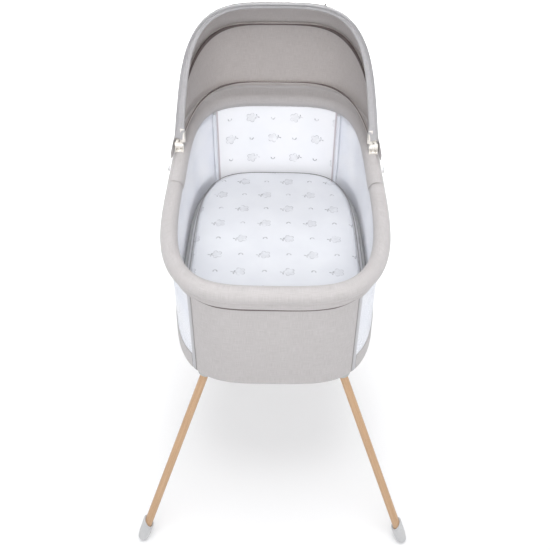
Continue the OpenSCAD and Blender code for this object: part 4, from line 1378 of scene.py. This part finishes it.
for sy, along in ((-1, "front"), (1, "rear")):
    for sx, across in ((-1, "left"), (1, "right")):
        place_name = f"{along}_{across}"
        rows = [(0, 21 * MM), (LEG_R - 1.2 * MM, 21 * MM), (LEG_R, 22.2 * MM)]
        rows += [(LEG_R, z) for z in np.linspace(30 * MM, LEG_TOP - 3 * MM, 14)]
        rows += [(LEG_R, LEG_TOP - 1.4 * MM), (LEG_R - 0.4 * MM, LEG_TOP - 0.4 * MM),
            (LEG_R - 1.4 * MM, LEG_TOP), (0, LEG_TOP)]
        local = turned_rows(rows, 48)
        run = np.array([z for _, z in rows])
        uv = np.stack(np.meshgrid(run + (sx + 2 * sy) * 0.7, np.linspace(0, 2 * math.pi * LEG_R, 49),
            indexing="ij"), -1)
        leg = grid(f"beech_leg_{place_name}", on_corner(local, sx, sy), uv, (False, True), caps=True,
            sharp=40)
        dress(leg, BEECH, "stand", f"leg_{place_name}")

        rows = [(TIP_R * math.sin(q), -TIP_R * math.cos(q)) for q in np.radians(np.linspace(0, 84, 11))]
        rows += [(TIP_R + 0.9 * MM, 6 * MM), (SHOE_R - 0.7 * MM, 14 * MM)]
        lip = (SHOE_R - LEG_R) / 2
        rows += [(SHOE_R - 0.5 * MM + 0.5 * MM * k, share_of_lip(k, 5.5 * MM))
            for k in (0.25, 0.5, 0.75, 1.0)]
        rows += [(SHOE_R - 0.15 * MM, share_of_lip(1, 4.6 * MM)),
            (SHOE_R - 0.8 * MM, share_of_lip(1, 4.2 * MM)), (SHOE_R - 0.1 * MM, share_of_lip(1, 3.7 * MM))]
        for q in np.radians([0, 25, 50, 75, 90, 105, 130, 155, 180]):
            rows.append((SHOE_R - lip + lip * math.cos(q),
                share_of_lip(1, lip * (1 - math.sin(q)) + 0.2 * MM)))
        rows.append((LEG_R + 0.05 * MM, share_of_lip(1, 7 * MM)))
        local = turned_rows(rows, 48)
        uv = np.zeros((len(rows), 49, 2))
        shoe = grid(f"leg_shoe_{place_name}", on_corner(local, sx, sy), uv, (False, True), caps=True,
            sharp=60)
        dress(shoe, SHOE, "stand", f"shoe_{place_name}")

# ---- parts kept from the frame: finishes and softened edges ---------------------------------------

KEPT = {
    NYLON: (["leg_mounts", "saddle_clips"], 0.8),
    STEEL: (["leg_bolts", "clip_screws", "hinge_pins", "hinge_screws"], 0.25),
    COATED: (["stand_crossbar_front", "stand_crossbar_rear", "stand_rail_left", "stand_rail_right",
        "rim_tube_left", "rim_tube_right", "rim_couplers", "uprights", "base_frame", "base_crossbars"],
        0.9),
    BOARD: (["base_board"], 0.4),
    SHOE: (["canopy_front_bow", "canopy_mid_bow", "canopy_rear_bow"], 0.1),
    CREAM: (["canopy_bracket_left", "canopy_bracket_right", "mid_bow_ends", "front_bow_end_left",
    "front_bow_end_right"], 0.9),
}
for material, (names, width) in KEPT.items():
    for node in names:
        part = frame["nodes"][node]
        part.data.materials.clear()
        part.data.materials.append(material)
        weld = part.modifiers.new("weld", "WELD")
        weld.merge_threshold = 0.02 * MM
        bevel = part.modifiers.new("soft_edges", "BEVEL")
        bevel.width = width * MM
        bevel.segments = 3
        bevel.limit_method = "ANGLE"
        bevel.angle_limit = math.radians(50)
        bevel.harden_normals = True

# ---- floor, light and camera -------------------------------------------------------------------------

bpy.ops.mesh.primitive_plane_add(size=40)
ground = bpy.context.object
ground.name = "studio_floor"
floor_material, _, _ = start_material("matt_white_paper", "#fbfbfb", 0.95)
ground.data.materials.append(floor_material)

sky = bpy.data.worlds.new("studio")
sky.use_nodes = True
sky.node_tree.nodes["Background"].inputs["Color"].default_value = srgb("#fcfdff")
sky.node_tree.nodes["Background"].inputs["Strength"].default_value = 0.8
bpy.context.scene.world = sky


def softbox(name, at, aim, size, power, tint="#ffffff", spread=180):
    lamp = bpy.data.lights.new(name, "AREA")
    lamp.shape = "DISK"
    lamp.size = size
    lamp.energy = power
    lamp.spread = math.radians(spread)
    lamp.color = srgb(tint)[:3]
    holder = bpy.data.objects.new(name, lamp)
    bpy.context.collection.objects.link(holder)
    holder.location = at
    holder.rotation_euler = (Vector(aim) - Vector(at)).to_track_quat("-Z", "Y").to_euler()


softbox("overhead_softbox", (0.0, -0.5, 4.2), (0, 0, 0.6), 2.6, 54)
softbox("floor_wash", (0, 4.6, 3.5), (0, 3.0, 0), 2.4, 40, spread=58)
softbox("front_fill", (0.0, -3.4, 3.0), (0, 0.2, 0.9), 3.2, 20)
softbox("canopy_fill", (0.0, -2.3, 2.5), (0, 0.42, 0.8), 1.3, 3.1, spread=42)

CAMERA_AT = (0, -1.734, 1.958)
# degrees below level, degrees of roll, millimetres of lens
CAMERA_DOWN, CAMERA_ROLL, LENS = 41.35, 0.58, 49.07
lens = bpy.data.cameras.new("studio_camera")
lens.sensor_width = 36
lens.lens = LENS
lens.clip_end = 100
camera = bpy.data.objects.new("studio_camera", lens)
bpy.context.collection.objects.link(camera)
camera.matrix_world = (
    Matrix.Translation(CAMERA_AT)
    @ Matrix.Rotation(math.radians(90 - CAMERA_DOWN), 4, "X")
    @ Matrix.Rotation(math.radians(CAMERA_ROLL), 4, "Z")
)
bpy.context.scene.camera = camera
bpy.context.scene.view_settings.view_transform = "Standard"
